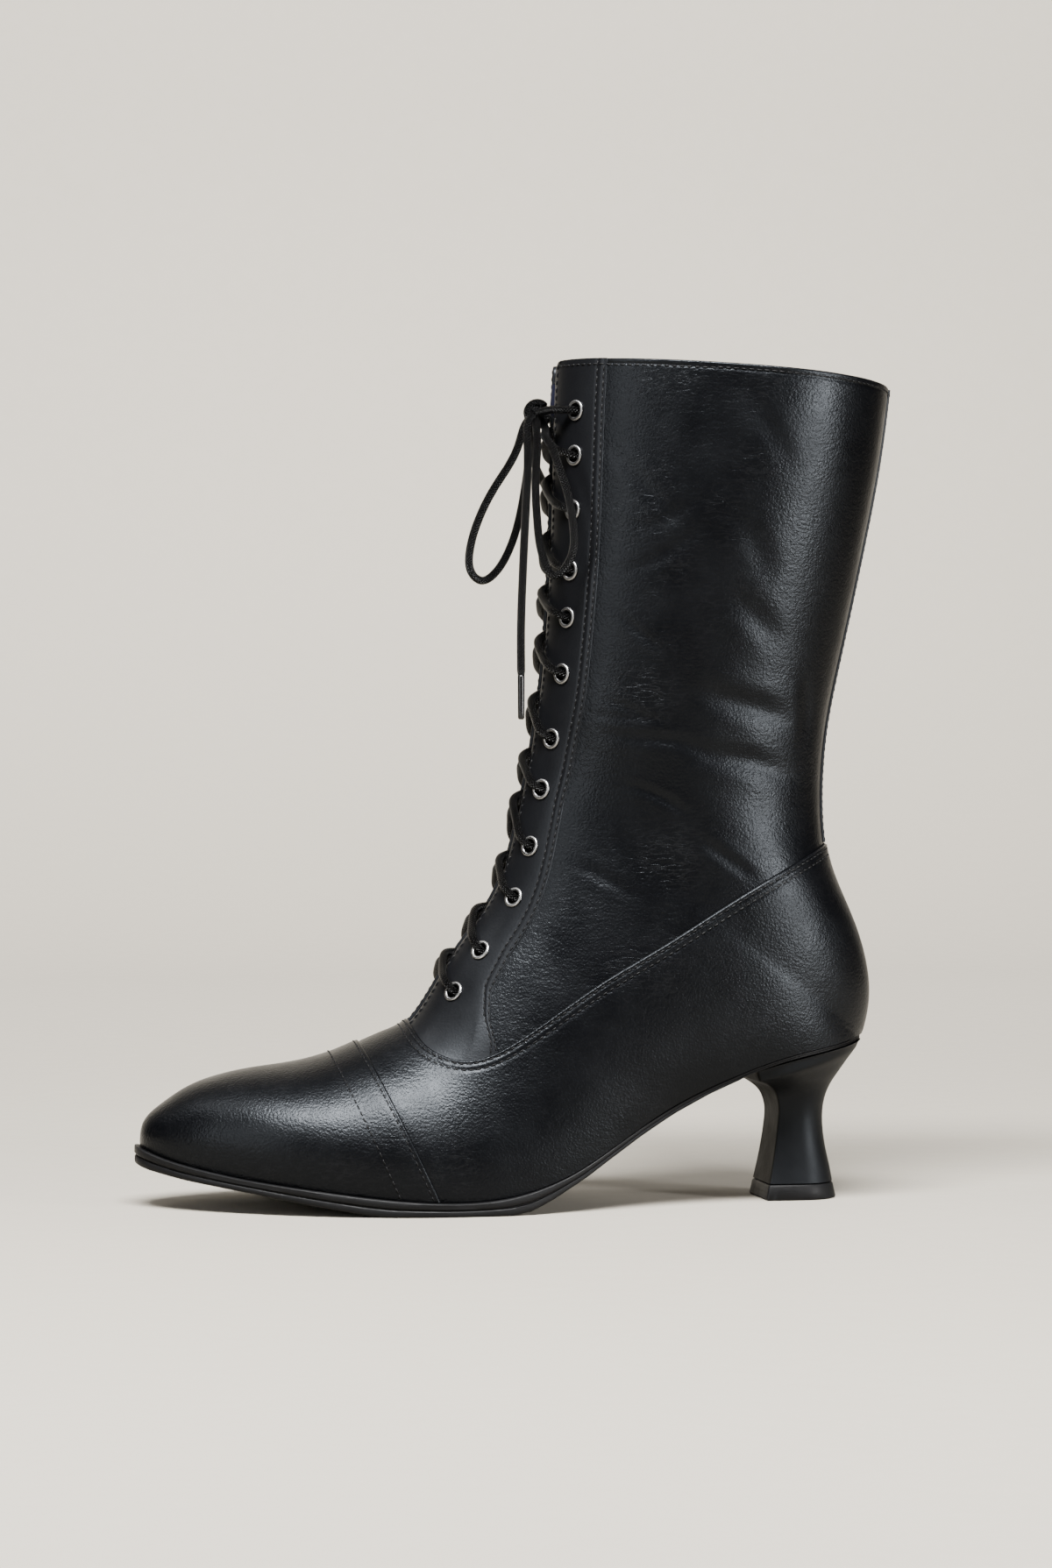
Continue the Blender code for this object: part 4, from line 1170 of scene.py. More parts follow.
def plain_finish(name, colour, rough, bump_scale, bump, sockets):
    """Finish with a fine even bump and slightly uneven gloss."""
    material, tree, shader = new_finish(name, colour, rough, sockets)
    coords = put(tree, "TexCoord").outputs["Object"]
    cloud = put(tree, "TexNoise", {"Vector": coords, "Scale": bump_scale, "Detail": 3.0})
    relief = put(tree, "Bump", {"Height": cloud.outputs["Fac"], "Strength": bump, "Distance": 0.0002})
    tree.links.new(relief.outputs["Normal"], shader.inputs["Normal"])
    uneven_roughness(tree, shader, coords, 90.0, rough - 0.05, rough + 0.06)
    return material


def cord_finish(name):
    """Waxed braid: two crossing families of strands in the cord's own map."""
    material, tree, shader = new_finish(name, "cord", 0.3, {"Specular IOR Level": 0.1})
    chart = put(tree, "UVMap", uv_map="Braid").outputs["UV"]
    strands = put(tree, "Mapping", {"Vector": chart, "Scale": (8.0, 9.0, 1.0)})
    parts = put(tree, "SeparateXYZ", {0: strands.outputs["Vector"]})
    swells = []
    for lean in (1.0, -1.0):
        slope = put(tree, "Math", {0: parts.outputs["Y"], 1: lean, 2: parts.outputs["X"]},
                    operation="MULTIPLY_ADD")
        phase = put(tree, "Math", {0: slope.outputs["Value"], 1: math.pi}, operation="MULTIPLY")
        wave = put(tree, "Math", {0: phase.outputs["Value"]}, operation="SINE")
        swell = put(tree, "Math", {0: wave.outputs["Value"]}, operation="ABSOLUTE")
        swells.append(swell.outputs["Value"])
    height = put(tree, "Math", {0: swells[0], 1: swells[1]}, operation="MULTIPLY").outputs["Value"]
    relief = put(tree, "Bump", {"Height": height, "Strength": 1.0, "Distance": 0.0008})
    tree.links.new(relief.outputs["Normal"], shader.inputs["Normal"])
    wax = put(tree, "MapRange", {"Value": height, "To Min": 0.4, "To Max": 0.2})
    tree.links.new(wax.outputs["Result"], shader.inputs["Roughness"])
    return material


def sole_finish(name):
    """Sole edge: dull black with fine lines along it."""
    material, tree, shader = new_finish(name, "sole", 0.5, {"Specular IOR Level": 0.1})
    coords = put(tree, "TexCoord").outputs["Object"]
    drawn = put(tree, "Mapping", {"Vector": coords, "Scale": (0.12, 0.12, 1.0)})
    lines = put(tree, "TexNoise", {"Vector": drawn.outputs["Vector"], "Scale": 2400.0, "Detail": 2.0})
    grit = put(tree, "TexNoise", {"Vector": coords, "Scale": 1500.0, "Detail": 3.0})
    both = put(tree, "Mix", {0: 0.45, 2: lines.outputs["Fac"], 3: grit.outputs["Fac"]})
    relief = put(tree, "Bump", {"Height": both.outputs[0], "Strength": 0.45, "Distance": 0.0002})
    tree.links.new(relief.outputs["Normal"], shader.inputs["Normal"])
    uneven_roughness(tree, shader, coords, 120.0, 0.42, 0.6)
    return material


def named_finish(name):
    """A finish by its name, made once and used again."""
    made = bpy.data.materials.get(name)
    if made:
        return made
    if name in LEATHERS:
        return leather_finish(name, *LEATHERS[name])
    if name in PLAIN_FINISHES:
        return plain_finish(name, *PLAIN_FINISHES[name])
    return {"Sole": sole_finish, "Waxed braid": cord_finish}[name](name)


# wall of the galosh and toe cap, radius of their folded edges, and the cap's lap in section rows
LAYER_WALL = 0.8
FOLD = 0.8
CAP_LAP = 0.5


class BOOT_OT_upper(bpy.types.Operator):
    """Shaft and quarters: lined leather with the creases of wear"""
    bl_idname = "boot.upper"
    bl_label = "Upper"

    # distances of the fine rows below the collar, and the collar's rounding
    RIM = (3.6, 3.0, 2.6, 2.3, 2.0, 1.7, 1.4, 1.0, 0.5, 0.0)
    ROUND = 0.7

    def execute(self, context):
        rim = COLLAR_ROW - np.array(self.RIM) / COLLAR_STEP
        columns = np.concatenate([
            np.linspace(0.0, THROAT_ROW, 30), np.linspace(THROAT_ROW + 0.05, HEEL_ROW, 56),
            np.linspace(HEEL_ROW, rim[0], 116)[1:-1], rim])
        top = np.where(columns <= THROAT_ROW, math.pi, setback_angle(columns, QUARTER_SETBACK))

        def lift(points, s, side):
            below = (COLLAR_ROW - s) * COLLAR_STEP
            return crease_height(points, side) + sewn(below, (COLLAR_STITCH,))

        piece = leather_sheet("Upper", columns, feather_angle(columns), top, even(84), lift)
        for name in ("Shaft leather", "Lining leather"):
            piece.data.materials.append(named_finish(name))
        thicken(piece, size("wall"), lined=True)
        spots = coordinates(piece) / MM
        edge = LAST[COLLAR_ROW]
        slope = (edge.front_z - edge.seat_z) / (edge.seat_x - edge.front_x)
        collar = edge.front_z - (spots[:, 0] - edge.front_x) * slope
        round_rim(piece, np.abs(spots[:, 2] - collar) < self.ROUND, self.ROUND)
        smooth(piece)
        hand_over(piece, "upper_leather", "upper")
        return {"FINISHED"}


class BOOT_OT_galosh(bpy.types.Operator):
    """Vamp and counter layer with its folded and sewn top edge"""
    bl_idname = "boot.galosh"
    bl_label = "Galosh"

    STITCHES = (1.4, 3.6)
    # height of the folded edge, the vamp's run up to it, and distances of the fine rows from it
    EDGE_HEIGHT = 0.3
    EDGE_RUN = 24.0
    EDGE = (0.0, 0.12, 0.3, 0.55, 0.85, 1.2, 1.6, 2.0, 2.4, 2.9, 3.5, 4.1, 4.7, 5.4, 6.4)
    SIDE_CELLS = 60
    FRONT_CELLS = 40

    def vamp(self, side, full):
        """Rows and angles from under the toe cap to the seam's front, as grids of columns by rows."""
        front, front_psi = galosh_front()
        line = last_point(front, front_psi, side)[::-1]
        run = lengths_along(line)
        spots = np.linspace(0.0, run[-1], self.FRONT_CELLS + 1)[1:]
        start = float(feather_angle(front[-1], full))
        flank = spread(front[-1], start, front_psi[-1], side, close_to_end(self.SIDE_CELLS, self.EDGE))
        end_psi = np.concatenate([flank, np.interp(spots, run, front_psi[::-1])])
        end_s = np.concatenate([np.full(len(flank), front[-1]), np.interp(spots, run, front[::-1])])
        first = CAP_ROW - CAP_LAP
        first_low = float(feather_angle(first, full))
        first_psi = spread(first, first_low, math.pi, side, even(len(end_psi) - 1))
        near = 1 - np.array(self.EDGE[::-1]) / self.EDGE_RUN
        share = np.concatenate([np.linspace(0.0, near[0], 20)[:-1], near])[:, None]
        s = first + (end_s - first) * share
        low = feather_angle(s, full)
        end_low = feather_angle(end_s, full)
        begin = (first_psi - first_low) / (math.pi - first_low)
        stop = (end_psi - end_low) / (math.pi - end_low)
        bend = share ** 1.5
        return s, low + (math.pi - low) * (begin * (1 - bend) + stop * bend)

    def flank(self, side, full):
        """Rows and angles from the seam's front along the side to the back."""
        start = galosh_front()[0][-1]
        columns = np.concatenate([
            np.linspace(start, start + 1.0, 36), np.linspace(start + 1.0, HEEL_ROW, 54)[1:],
            np.linspace(HEEL_ROW, galosh_end(), 48)[1:]])
        low = feather_angle(columns, full)
        top = np.maximum(galosh_angle(columns), low)
        shares = close_to_end(self.SIDE_CELLS, self.EDGE)
        psi = np.array([spread(s, a, b, side, shares) for s, a, b in zip(columns, low, top)])
        return np.repeat(columns[:, None], psi.shape[1], axis=1), psi

    def execute(self, context):
        full = size("galosh_lift")
        seam = galosh_seam(0.0)
        sheets = []
        for side in (LATERAL, MEDIAL):
            for rows, angles in (self.vamp(side, full), self.flank(side, full)):
                sheet, i, j = add_grid("Galosh", rows.shape[0] - 1, rows.shape[1] - 1)
                if side == MEDIAL:
                    j = rows.shape[1] - 1 - j
                s, psi = rows[i, j], angles[i, j]
                spots = last_point(rows, angles, side)
                if rows[-1, 0] > HEEL_ROW:
                    spots = calm(spots, side)
                spots = spots[i, j]
                distance = nearest(spots, seam)
                under_cap = np.clip((CAP_ROW + 0.1 - s) / 0.3, 0.0, 1.0)
                edge = roll(distance, self.EDGE_HEIGHT, full, FOLD)
                lift = edge + sewn(distance, self.STITCHES) - 0.5 * under_cap
                lay(sheet, spots + last_normal(s, psi, side) * lift[:, None])
                sheets.append(sheet)
        piece = merge(sheets)
        face_outwards(piece)
        complete(piece, "galosh_leather", "galosh", "Vamp leather", wall=LAYER_WALL)

        upright = galosh_seam(1.0) - seam
        inside = np.cross(upright, unit(np.gradient(seam, axis=0)))
        inside *= np.sign(inside @ np.array((-0.5, 0.0, -1.0)))[:, None]
        rows = [on_pieces(galosh_seam(full) + inside * distance, piece) for distance in self.STITCHES]
        sew("Galosh_stitches", [(line[4:-4], up[4:-4]) for line, up in rows])
        return {"FINISHED"}


class BOOT_OT_toe_cap(bpy.types.Operator):
    """Toe cap with its folded rear edge and two sewn rows"""
    bl_idname = "boot.toe_cap"
    bl_label = "Toe cap"

    # stitches before the edge in millimetres and in section rows, the second row, and rows near the edge
    EDGE_STITCH = 1.5
    EDGE_ROW = 0.145
    SECOND_ROW = 0.86
    EDGE_STEPS = (0.43, 0.34, 0.27, 0.21, 0.16, 0.12, 0.085, 0.055, 0.03, 0.012, 0.0)

    def execute(self, context):
        full = size("cap_lift")
        front = np.linspace(0.0, 1.0, 70)[:-1] ** 1.35 * (CAP_ROW - CAP_LAP)
        columns = np.concatenate([front, CAP_ROW - np.array(self.EDGE_STEPS)])
        seam = cap_seam(CAP_ROW, 0.0)
        second = cap_seam(CAP_ROW - self.SECOND_ROW, 0.0)

        def lift(points, s, side):
            distance = nearest(points, seam)
            row = nearest(points, second)
            edge = roll(distance, 0.9, full + 0.3 * np.exp(-(distance / 6.0) ** 2), FOLD)
            return edge + sewn(distance, (self.EDGE_STITCH,)) + sewn(row, (0.0,))

        ridge = np.full_like(columns, math.pi)
        piece = leather_sheet("Toe_cap", columns, feather_angle(columns, full), ridge, even(52), lift)
        complete(piece, "galosh_leather", "toe_cap", "Vamp leather", wall=LAYER_WALL)
        lines = [cap_seam(CAP_ROW - row, full) for row in (self.EDGE_ROW, self.SECOND_ROW)]
        sew("Toe_cap_stitches", [on_pieces(line, piece) for line in lines])
        return {"FINISHED"}


class BOOT_OT_eyestays(bpy.types.Operator):
    """Both eyestays with round throat edges, sewn rear edges and punched holes"""
    bl_idname = "boot.eyestays"
    bl_label = "Eyestays"

    HOLE = 2.5
    HOLE_DEPTH = 9.0
    TOP_STEPS = (0.0125, 0.0105, 0.0085, 0.0065, 0.0048, 0.0032, 0.0018, 0.0008, 0.0)

    def punch(self, side):
        """Joined round punches for one side's eyelet holes."""
        pins = []
        for height in EYELET_HEIGHTS:
            clear_selection()
            bpy.ops.mesh.primitive_cylinder_add(
                vertices=28, radius=self.HOLE * MM, depth=self.HOLE_DEPTH * MM)
            pin = bpy.context.object
            pin.data.transform(eyelet_frame(height, side, 0.0))
            pins.append(pin)
        return merge(pins)

    def eyestay(self, name, side):
        shares = np.concatenate([
            np.linspace(0.0, 1.0, 140) ** 1.1 * 0.985, 1 - np.array(self.TOP_STEPS)])
        table = np.array([eyestay_line(side, row, shares)[0] for row in eyestay_profile()])
        piece, i, j = add_grid(name, len(shares) - 1, len(table) - 1)
        lay(piece, table[j, i])
        merge([piece])
        close_ends(piece)
        face_outwards(piece)
        punch = self.punch(side)
        holes = piece.modifiers.new("Holes", "BOOLEAN")
        holes.operation = "DIFFERENCE"
        holes.solver = "EXACT"
        holes.object = punch
        apply(piece, holes)
        bpy.data.objects.remove(punch)
        return piece

    def execute(self, context):
        lift = size("eyestay_lift")
        shares = np.linspace(0.0, 1.0, 240)
        rows = []
        for side, word in SIDES:
            piece = self.eyestay("Eyestay_" + word, side)
            complete(piece, "upper_leather", "eyestay_" + word, "Facing leather", angle=40.0)
            lines = [(FROM_THROAT, 0.0, THROAT_STITCH, lift)]
            lines += [(FROM_REAR, 1.0, -back, lift - 0.15) for back in REAR_ROWS]
            rows += [eyestay_line(side, line, shares) for line in lines]
        sew("Eyestay_stitches", rows)
        return {"FINISHED"}


class BOOT_OT_eyelets(bpy.types.Operator):
    """Rolled metal eyelets, modelled once and set along both eyestays"""
    bl_idname = "boot.eyelets"
    bl_label = "Eyelets"

    FLATTENED = 0.62
    RIM_RISE = 0.25
    BARREL_LENGTH = 2.6
    BARREL_DROP = 1.15
    BARREL_WALL = 0.25
    BARREL_LAP = 0.28
    CLEARANCE = 0.05

    def model(self):
        ring, rolled = size("eyelet_ring"), size("eyelet_roll")
        clear_selection()
        bpy.ops.mesh.primitive_torus_add(
            major_segments=32, minor_segments=12, major_radius=ring * MM, minor_radius=rolled * MM)
        rim = bpy.context.object
        bpy.ops.object.mode_set(mode="EDIT")
        bpy.ops.mesh.select_all(action="SELECT")
        bpy.ops.transform.resize(value=(1.0, 1.0, self.FLATTENED))
        bpy.ops.transform.translate(value=(0.0, 0.0, self.RIM_RISE * MM))
        object_mode()
        clear_selection()
        bpy.ops.mesh.primitive_cylinder_add(
            vertices=32, radius=(ring - rolled + self.BARREL_LAP) * MM, depth=self.BARREL_LENGTH * MM,
            end_fill_type="NOTHING", location=(0.0, 0.0, -self.BARREL_DROP * MM))
        barrel = bpy.context.object
        bpy.ops.object.transform_apply(location=True, rotation=False, scale=False)
        thicken(barrel, self.BARREL_WALL)
        return merge([rim, barrel])

    def execute(self, context):
        model = self.model()
        out = size("eyestay_lift") + self.CLEARANCE
        for side, word in SIDES:
            for number, height in enumerate(EYELET_HEIGHTS, 1):
                label = f"{word}_{number:02d}"
                piece = link("Eyelet_" + label, model.data.copy())
                piece.data.transform(eyelet_frame(height, side, out))
                complete(piece, "eyelet_metal", "eyelet_" + label, "Eyelet metal", angle=60.0)
        bpy.data.objects.remove(model)
        return {"FINISHED"}


class BOOT_OT_back_stay(bpy.types.Operator):
    """Narrow strip up the back of the shaft, sewn along both edges"""
    bl_idname = "boot.back_stay"
    bl_label = "Back stay"

    HALF_WIDTH = 5.0
    STITCH = 1.5
    HEIGHT = 0.9
    WALL = 0.6
    EDGE = (0.0, 0.1, 0.25, 0.5, 0.8, 1.1, 1.5, 1.9, 2.4)

    def execute(self, context):
        columns = np.linspace(galosh_end() - 0.02, COLLAR_ROW, 90)

        def edge_angle(s, width):
            return np.arcsin(width / HALF[LATERAL](s))

        dense = np.linspace(columns[0], columns[-1], 400)
        edge = edge_angle(dense, self.HALF_WIDTH)
        edges = {side: last_point(dense, edge, side) for side in (LATERAL, MEDIAL)}

        def lift(points, s, side):
            distance = nearest(points, edges[side])
            return roll(distance, 0.05, self.HEIGHT, self.WALL) + sewn(distance, (self.STITCH,))

        piece = leather_sheet(
            "Back_stay", columns, 0.0 * columns, edge_angle(columns, self.HALF_WIDTH),
            close_to_end(13, self.EDGE), lift)
        complete(piece, "upper_leather", "back_stay", "Facing leather", wall=self.WALL)
        sewn_at = edge_angle(dense, self.HALF_WIDTH - self.STITCH)
        lines = [surface(dense, sewn_at, side, self.HEIGHT) for side in (LATERAL, MEDIAL)]
        sew("Back_stay_stitches", [on_pieces(line, piece) for line in lines])
        return {"FINISHED"}


class BOOT_OT_collar(bpy.types.Operator):
    """Row of stitches round the collar"""
    bl_idname = "boot.collar"
    bl_label = "Collar stitches"

    GROUND = ("Upper", "Eyestay_lateral", "Eyestay_medial", "Back_stay")

    def execute(self, context):
        ground = [bpy.data.objects[name] for name in self.GROUND]
        rows = []
        for side in (LATERAL, MEDIAL):
            arc = FrontArc(COLLAR_ROW, side)
            turn = np.linspace(0.0, arc.angle(arc.throat() + CORNER), 300)
            top = last_point(COLLAR_ROW, turn, side)
            step = np.linalg.norm(top - last_point(COLLAR_ROW - 0.1, turn, side), axis=1) / 0.1
            rows.append(on_pieces(surface(COLLAR_ROW - COLLAR_STITCH / step, turn, side, 0.6), *ground))
        sew("Collar_stitches", rows)
        return {"FINISHED"}


class BOOT_OT_tongue(bpy.types.Operator):
    """Tongue behind the throat, standing forward above the top eyelets"""
    bl_idname = "boot.tongue"
    bl_label = "Tongue"

    # the middle stands out as a soft ridge, more so at the top
    WALL = 1.5
    RIDGE_WIDTH = 7.0
    RIDGE = 0.8
    TOP_RIDGE = 5.6
    TOP_START = 263.0
    TOP_RUN = 8.0

    def execute(self, context):
        half, depth = ramp(TONGUE_ROWS, 1), ramp(TONGUE_ROWS, 2)
        foot, bend, top = (TONGUE_ROWS[i][0] for i in (0, 2, -1))
        columns = np.concatenate([np.linspace(foot, bend, 16), np.linspace(bend, top, 90)[1:]])

        def lift(points, s, side):
            x, y, z = points.T
            soft = ease(np.clip((z - self.TOP_START) / self.TOP_RUN, 0.0, 1.0))
            ridge = np.exp(-(y / self.RIDGE_WIDTH) ** 2) * (self.RIDGE * (1 - soft) + self.TOP_RIDGE * soft)
            return -depth(s) + ridge + 0.25 * np.sin(z * 0.31 + y * 0.2)

        low = setback_angle(columns, half(columns))
        piece = leather_sheet("Tongue", columns, low, np.full_like(columns, math.pi), even(26), lift)
        complete(piece, "tongue_leather", "tongue", "Tongue leather", wall=self.WALL)
        return {"FINISHED"}


class BOOT_OT_insole(bpy.types.Operator):
    """Insole inside the upper"""
    bl_idname = "boot.insole"
    bl_label = "Insole"

    THICKNESS = 2.2
    CLEARANCE = 0.6
    LEVELS = ((0.0, 0.6), (0.12, 0.2), (0.35, 0.0), (1.0, 0.0))

    def execute(self, context):
        inset = size("wall") + self.CLEARANCE
        piece = foot_slab(
            "Insole", self.LEVELS, lambda x, more: -(inset + more) + 0 * x,
            lambda x, share: FEATHER(x) + self.THICKNESS * (1 - share), count=90)
        complete(piece, "insole_leather", "insole", "Lining leather")
        return {"FINISHED"}


class BOOT_OT_outsole(bpy.types.Operator):
    """Outsole in two bands with a groove between them"""
    bl_idname = "boot.outsole"
    bl_label = "Outsole"

    # share of the height from the top, and inset of the side there
    LEVELS = (
        (0.0, 0.7), (0.03, 0.25), (0.09, 0.0), (0.24, 0.0), (0.40, 0.0), (0.45, 0.2), (0.49, 0.75),
        (0.53, 0.75), (0.57, 0.25), (0.63, 0.08), (0.78, 0.08), (0.9, 0.12), (0.96, 0.35), (1.0, 0.9),
    )

    def execute(self, context):
        rim = ramp(OUTSOLE, 2)

        def reach(x, inset):
            return rim(x) - inset * np.minimum(rim(x) / 3.0, 1.0)

        def height(x, share):
            top = FEATHER(x) - SEAM_GAP
            return top + (outsole_under(x) - top) * share

        piece = foot_slab("Outsole", self.LEVELS, reach, height, count=190)
        complete(piece, "sole_rubber", "outsole", "Sole", angle=40.0)
        return {"FINISHED"}


class BOOT_OT_heel(bpy.types.Operator):
    """Waisted heel with a painted breast, and its top lift"""
    bl_idname = "boot.heel"
    bl_label = "Heel"

    SEAT_GAP = 0.4
    LIFT_LEVELS = ((0.0, 0.7), (0.04, 0.25), (0.1, 0.0), (0.5, 0.0), (0.88, 0.0), (0.95, 0.2), (1.0, 0.6))

    def heel_rings(self):
        numbers = np.linspace(0.0, len(HEEL) - 1.0, 64)
        fields = [curve(range(len(HEEL)), column)(numbers) for column in zip(*HEEL)]
        mixes = ease(np.clip(numbers - (len(HEEL) - 2), 0.0, 1.0))
        return [
            heel_ring(HeelLevel(*values), lambda x: outsole_under(x) - self.SEAT_GAP, mix)
            for values, mix in zip(zip(*fields), mixes)]

    def lift_rings(self):
        low, high = LIFT
        rings = []
        for share, inset in self.LIFT_LEVELS:
            level = HeelLevel(*(a + (b - a) * share for a, b in zip(low, high)))
            rings.append(heel_ring(level._replace(
                back_x=level.back_x - inset, breast_x=level.breast_x + inset, half=level.half - inset)))
        return rings

    def execute(self, context):
        piece = ring_stack("Heel", self.heel_rings())
        for name in ("Heel cover", "Heel breast"):
            piece.data.materials.append(named_finish(name))
        front = Vector((-math.cos(HEEL_TWIST), -math.sin(HEEL_TWIST), 0.0))
        for polygon in piece.data.polygons:
            if polygon.normal.dot(front) > 0.55 and polygon.center.x < -4 * MM:
                polygon.material_index = 1
        smooth(piece, 40.0)
        hand_over(piece, "heel_cover", "heel")
        lift = ring_stack("Top_lift", self.lift_rings())
        complete(lift, "sole_rubber", "top_lift", "Sole", angle=40.0)
        return {"FINISHED"}


def throat_place(s, turn, out):
    """Point at an arc length across the throat: negative on the outer side, positive on the inner."""
    side = MEDIAL if turn > 0 else LATERAL
    arc = FrontArc(s, side)
    return surface(s, arc.angle(abs(turn)), side, out)


def lacing_route(first_side):
    """One strand from its lowest eyelet to its highest: up through each hole, across and under."""
    stops = []
    for number, height in enumerate(EYELET_HEIGHTS):
        side = first_side if number % 2 == 0 else -first_side
        s, psi, point, normal = eyelet_place(height, side)
        arc = FrontArc(s, side)
        stops.append((s, side, float(arc.length_at(psi)), float(arc.throat())))
    route = []
    for number, (s, side, hole, edge) in enumerate(stops):
        route.append(throat_place(s, side * hole, -2.95))
        route.append(throat_place(s, side * (hole - 0.2), -0.4))
        if number + 1 == len(stops):
            route.append(throat_place(s, side * (hole - 2.2), 2.7))
            break
        step = stops[number + 1][0] - s
        over = (number % 2 == 0) == (first_side == LATERAL)
        # share of the way to the next eyelet, place across, height of the strand that lies over or under
        crossing = (
            (0.03, hole - 2.6, 2.2, 2.2), (0.2, edge + 3.5, 2.35, 2.35), (0.33, edge, 2.3, 1.9),
            (0.5, 0.01, 1.9, -1.0), (0.68, -edge, -1.6, -2.7), (0.84, -edge - 4.0, -3.0, -3.0))
        for share, turn, high, low in crossing:
            route.append(throat_place(s + share * step, side * turn, high if over else low))
    return route


class BOOT_OT_lace(bpy.types.Operator):
    """Round waxed lace through all eyelets, its knot, bow and ends with aglets"""
    bl_idname = "boot.lace"
    bl_label = "Lace"

    # spacing of the routes' points, and how near to the knot's middle the free runs start, as a share
    STEP = 0.8
    INSIDE_KNOT = 0.3
    KNOT_AXIS = (0.2, 0.93, -0.3)
    WRAP_TURNS, WRAP_LENGTH, WRAP_RADIUS = 1.9, 5.2, 3.2
    CORE_HALF, CORE_SWELL = 3.6, 1.3
    AGLET_SHARES = (0.0, 0.01, 0.03, 0.2, 0.4, 0.6, 0.8, 0.95, 0.985, 1.0)
    AGLET_WIDTHS = (0.75, 0.95, 1.0, 1.0, 0.98, 0.97, 0.95, 0.93, 0.8, 0.55)

    def cord(self, piece, node):
        complete(piece, "lace_cord", node, "Waxed braid", angle=60.0)

    def lacing(self):
        outer = lacing_route(LATERAL)
        inner = lacing_route(MEDIAL)
        s = eyelet_place(EYELET_HEIGHTS[0], LATERAL)[0]
        knot = np.array(KNOT)
        to_inner_side = [knot + (3.0, 6.4, -0.4), knot + (0.5, 4.0, 0.0)]
        from_outer_side = [knot + (0.0, -4.0, 0.0), knot + (1.5, -6.2, 0.4)]
        bar = [throat_place(s, 5.0, -2.9), throat_place(s, 0.01, -2.4), throat_place(s, -5.0, -2.9)]
        route = from_outer_side + inner[::-1] + bar + outer + to_inner_side
        piece = tube("Lacing", smooth_line(route, self.STEP), size("lace"))
        self.cord(piece, "lace_crossings")

    def knot(self):
        centre = np.array(KNOT)
        axis = unit(np.array(self.KNOT_AXIS))
        across = unit(np.cross(axis, (0.0, 0.0, 1.0)))
        up = np.cross(across, axis)
        share = np.linspace(0.0, 1.0, 60)[:, None]
        turn = 2 * math.pi * self.WRAP_TURNS * share + 0.6
        ring = self.WRAP_RADIUS * (across * np.cos(turn) + up * np.sin(turn))
        wrap = centre + axis * (share - 0.5) * self.WRAP_LENGTH + ring
        core = centre + axis * np.linspace(-self.CORE_HALF, self.CORE_HALF, 24)[:, None]
        swell = 1.0 + self.CORE_SWELL * np.sin(np.linspace(0.25, math.pi - 0.25, 24))
        piece = join([tube("Knot", wrap, size("lace")), tube("Knot_core", core, swell)])
        self.cord(piece, "lace_knot")

    def free_run(self, name, node, route, far_end, tip=None):
        """Loop that starts and stops inside the knot, or end that runs from there into its tip."""
        knot = np.array(KNOT)
        route = [knot + self.INSIDE_KNOT * (route[0] - knot), *route]
        if not tip:
            route.append(knot + self.INSIDE_KNOT * (route[-1] - knot))
        line = smooth_line(route, self.STEP)
        left = np.linalg.norm(line - line[-1], axis=1)
        pinch = np.interp(left, (0.0, 1.6), (0.8, 1.0)) if tip else 1.0
        piece = tube(name, line, size("lace") * pinch)
        self.cord(piece, node)
        run = float(lengths_along(line)[-1]) * MM
        2 * size("lace") * MM

    def aglet(self, name, node, end):
        up = np.array((0.0, 0.0, 1.0))
        shares = np.array(self.AGLET_SHARES)[:, None]
        line = np.array(end) + 0.2 * up - shares * size("aglet_length") * up
        piece = tube(name, line, size("aglet") * np.array(self.AGLET_WIDTHS), 18)
        complete(piece, "aglet_plastic", node, "Aglet", angle=60.0)
        return piece

    def execute(self, context):
        self.lacing()
        self.knot()
        near = self.aglet("Aglet_near", "aglet_near", END_NEAR[-1])
        far = self.aglet("Aglet_far", "aglet_far", END_FAR[-1])
        self.free_run("Loop_front", "lace_loop_front", LOOP_FRONT, "object")
        self.free_run("Loop_side", "lace_loop_side", LOOP_SIDE, "object")
        self.free_run("End_near", "lace_end_near", END_NEAR, "fitting", near)
        self.free_run("End_far", "lace_end_far", END_FAR, "fitting", far)
        return {"FINISHED"}


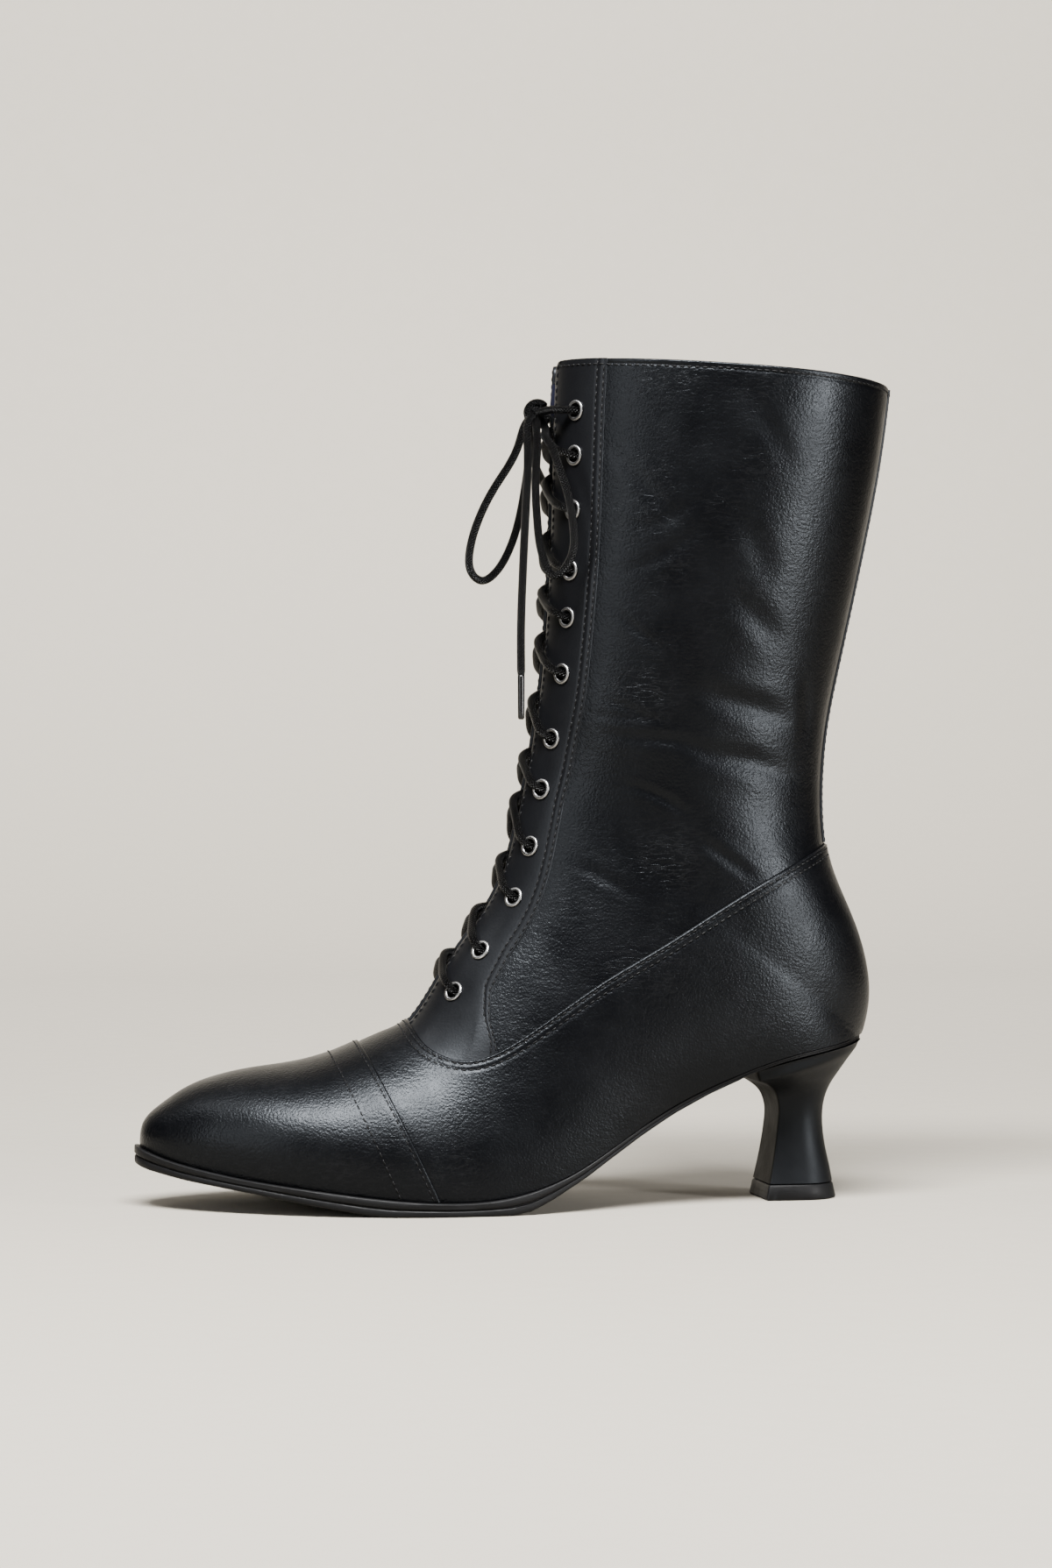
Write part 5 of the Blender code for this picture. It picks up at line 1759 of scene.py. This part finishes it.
class BOOT_OT_stage(bpy.types.Operator):
    """Paper sweep, studio lights and the camera"""
    bl_idname = "boot.stage"
    bl_label = "Studio"

    FLOOR, FLOOR_MIDDLE = 6.0, -1.6
    SWEEP_START, SWEEP_RADIUS, WALL = 1.4, 0.8, 2.6
    # name, place, aim, width, height, whose power, beam in degrees
    LIGHTS = (
        ("Key", (-0.25, -0.6, 1.15), (-0.14, -0.03, 0.04), 0.9, 0.3, "key_power", 180.0),
        ("Side", (1.075, -0.911, 0.24), (-0.05, 0.0, 0.15), 0.3, 0.8, "side_power", 180.0),
        ("Fill", (-1.25, -0.85, 0.4), (-0.09, 0.0, 0.13), 0.4, 0.9, "fill_power", 180.0),
        ("Paper left", (-1.5, 0.5, 1.9), (0.1, 2.2, 0.7), 1.0, 1.0, "paper_power", 110.0),
        ("Paper right", (1.3, 0.5, 1.9), (-0.1, 2.2, 0.7), 1.0, 1.0, "paper_power", 110.0),
    )
    AIR, AIR_STRENGTH = (0.95, 0.96, 1.0, 1.0), 0.02
    CAMERA_PLACE, CAMERA_TURN = (-0.24069, -1.20616, 0.1427), -7.0
    # focal length and height of the photo in its pixels, width of the sensor in millimetres
    FOCAL, PHOTO_HEIGHT, SENSOR = 4044.0, 1789.0, 36.0

    def paper(self):
        clear_selection()
        bpy.ops.mesh.primitive_plane_add(size=self.FLOOR, location=(0.0, self.FLOOR_MIDDLE, 0.0))
        floor = bpy.context.object
        floor.name = "Paper"
        bpy.ops.object.transform_apply(location=True, rotation=True, scale=True)
        edit_all(floor)
        bpy.ops.mesh.select_all(action="DESELECT")
        object_mode()
        for vert in floor.data.vertices:
            vert.select = vert.co.y > 0
        for edge in floor.data.edges:
            edge.select = all(floor.data.vertices[i].select for i in edge.vertices)
        for polygon in floor.data.polygons:
            polygon.select = False
        bpy.ops.object.mode_set(mode="EDIT")
        bpy.ops.mesh.select_mode(type="EDGE")
        radius = self.SWEEP_RADIUS
        before = Vector((self.SWEEP_START, 0.0))
        for angle in np.linspace(0.0, math.pi / 2, 13)[1:]:
            after = Vector((self.SWEEP_START + radius * math.sin(angle), radius - radius * math.cos(angle)))
            bpy.ops.mesh.extrude_region_move(
                TRANSFORM_OT_translate={"value": (0.0, after[0] - before[0], after[1] - before[1])})
            before = after
        bpy.ops.mesh.extrude_region_move(TRANSFORM_OT_translate={"value": (0.0, 0.0, self.WALL)})
        object_mode()
        floor.data.materials.append(named_finish("Paper"))
        smooth(floor)

    def light(self, name, place, aim, width, height, power, beam):
        lamp = bpy.data.lights.new(name, "AREA")
        lamp.shape = "RECTANGLE"
        lamp.size = width
        lamp.size_y = height
        lamp.energy = finish(power)
        lamp.spread = math.radians(beam)
        item = link(name, lamp)
        item.location = place
        item.rotation_euler = (Vector(aim) - Vector(place)).to_track_quat("-Z", "Y").to_euler()

    def execute(self, context):
        self.paper()
        for row in self.LIGHTS:
            self.light(*row)

        world = bpy.data.worlds.new("Studio")
        world.use_nodes = True
        world.node_tree.nodes["Background"].inputs["Color"].default_value = self.AIR
        world.node_tree.nodes["Background"].inputs["Strength"].default_value = self.AIR_STRENGTH
        bpy.context.scene.world = world

        lens = bpy.data.cameras.new("Camera")
        lens.sensor_width = self.SENSOR
        lens.lens = self.FOCAL * self.SENSOR / self.PHOTO_HEIGHT
        camera = link("Camera", lens)
        camera.location = self.CAMERA_PLACE
        camera.rotation_euler = (math.pi / 2, 0.0, math.radians(self.CAMERA_TURN))
        bpy.context.scene.camera = camera
        return {"FINISHED"}


class BOOT_PT_panel(bpy.types.Panel):
    """Buttons for the boot's pieces, and its sizes and finishes"""
    bl_idname = "BOOT_PT_panel"
    bl_label = "Heeled lace-up boot"
    bl_space_type = "VIEW_3D"
    bl_region_type = "UI"
    bl_category = "Boot"

    def draw(self, context):
        for operator in OPERATORS:
            self.layout.operator(operator.bl_idname)
        for group in (context.scene.boot_sizes, context.scene.boot_finishes):
            box = self.layout.box()
            for name in group.__annotations__:
                box.prop(group, name)


OPERATORS = (
    BOOT_OT_stage, BOOT_OT_lace, BOOT_OT_upper, BOOT_OT_galosh, BOOT_OT_toe_cap, BOOT_OT_eyestays,
    BOOT_OT_eyelets, BOOT_OT_back_stay, BOOT_OT_collar, BOOT_OT_tongue, BOOT_OT_insole, BOOT_OT_outsole,
    BOOT_OT_heel,
)
CLASSES = (BootSizes, BootFinishes, *OPERATORS, BOOT_PT_panel)


def register():
    for item in CLASSES:
        bpy.utils.register_class(item)
    bpy.types.Scene.boot_sizes = bpy.props.PointerProperty(type=BootSizes)
    bpy.types.Scene.boot_finishes = bpy.props.PointerProperty(type=BootFinishes)


def unregister():
    del bpy.types.Scene.boot_finishes
    del bpy.types.Scene.boot_sizes
    for item in reversed(CLASSES):
        bpy.utils.unregister_class(item)


def main():
    register()
    bpy.ops.boot.stage()
    bpy.ops.boot.lace()
    bpy.ops.boot.upper()
    bpy.ops.boot.galosh()
    bpy.ops.boot.toe_cap()
    bpy.ops.boot.eyestays()
    bpy.ops.boot.eyelets()
    bpy.ops.boot.back_stay()
    bpy.ops.boot.collar()
    bpy.ops.boot.tongue()
    bpy.ops.boot.insole()
    bpy.ops.boot.outsole()
    bpy.ops.boot.heel()


if __name__ == "__main__":
    main()
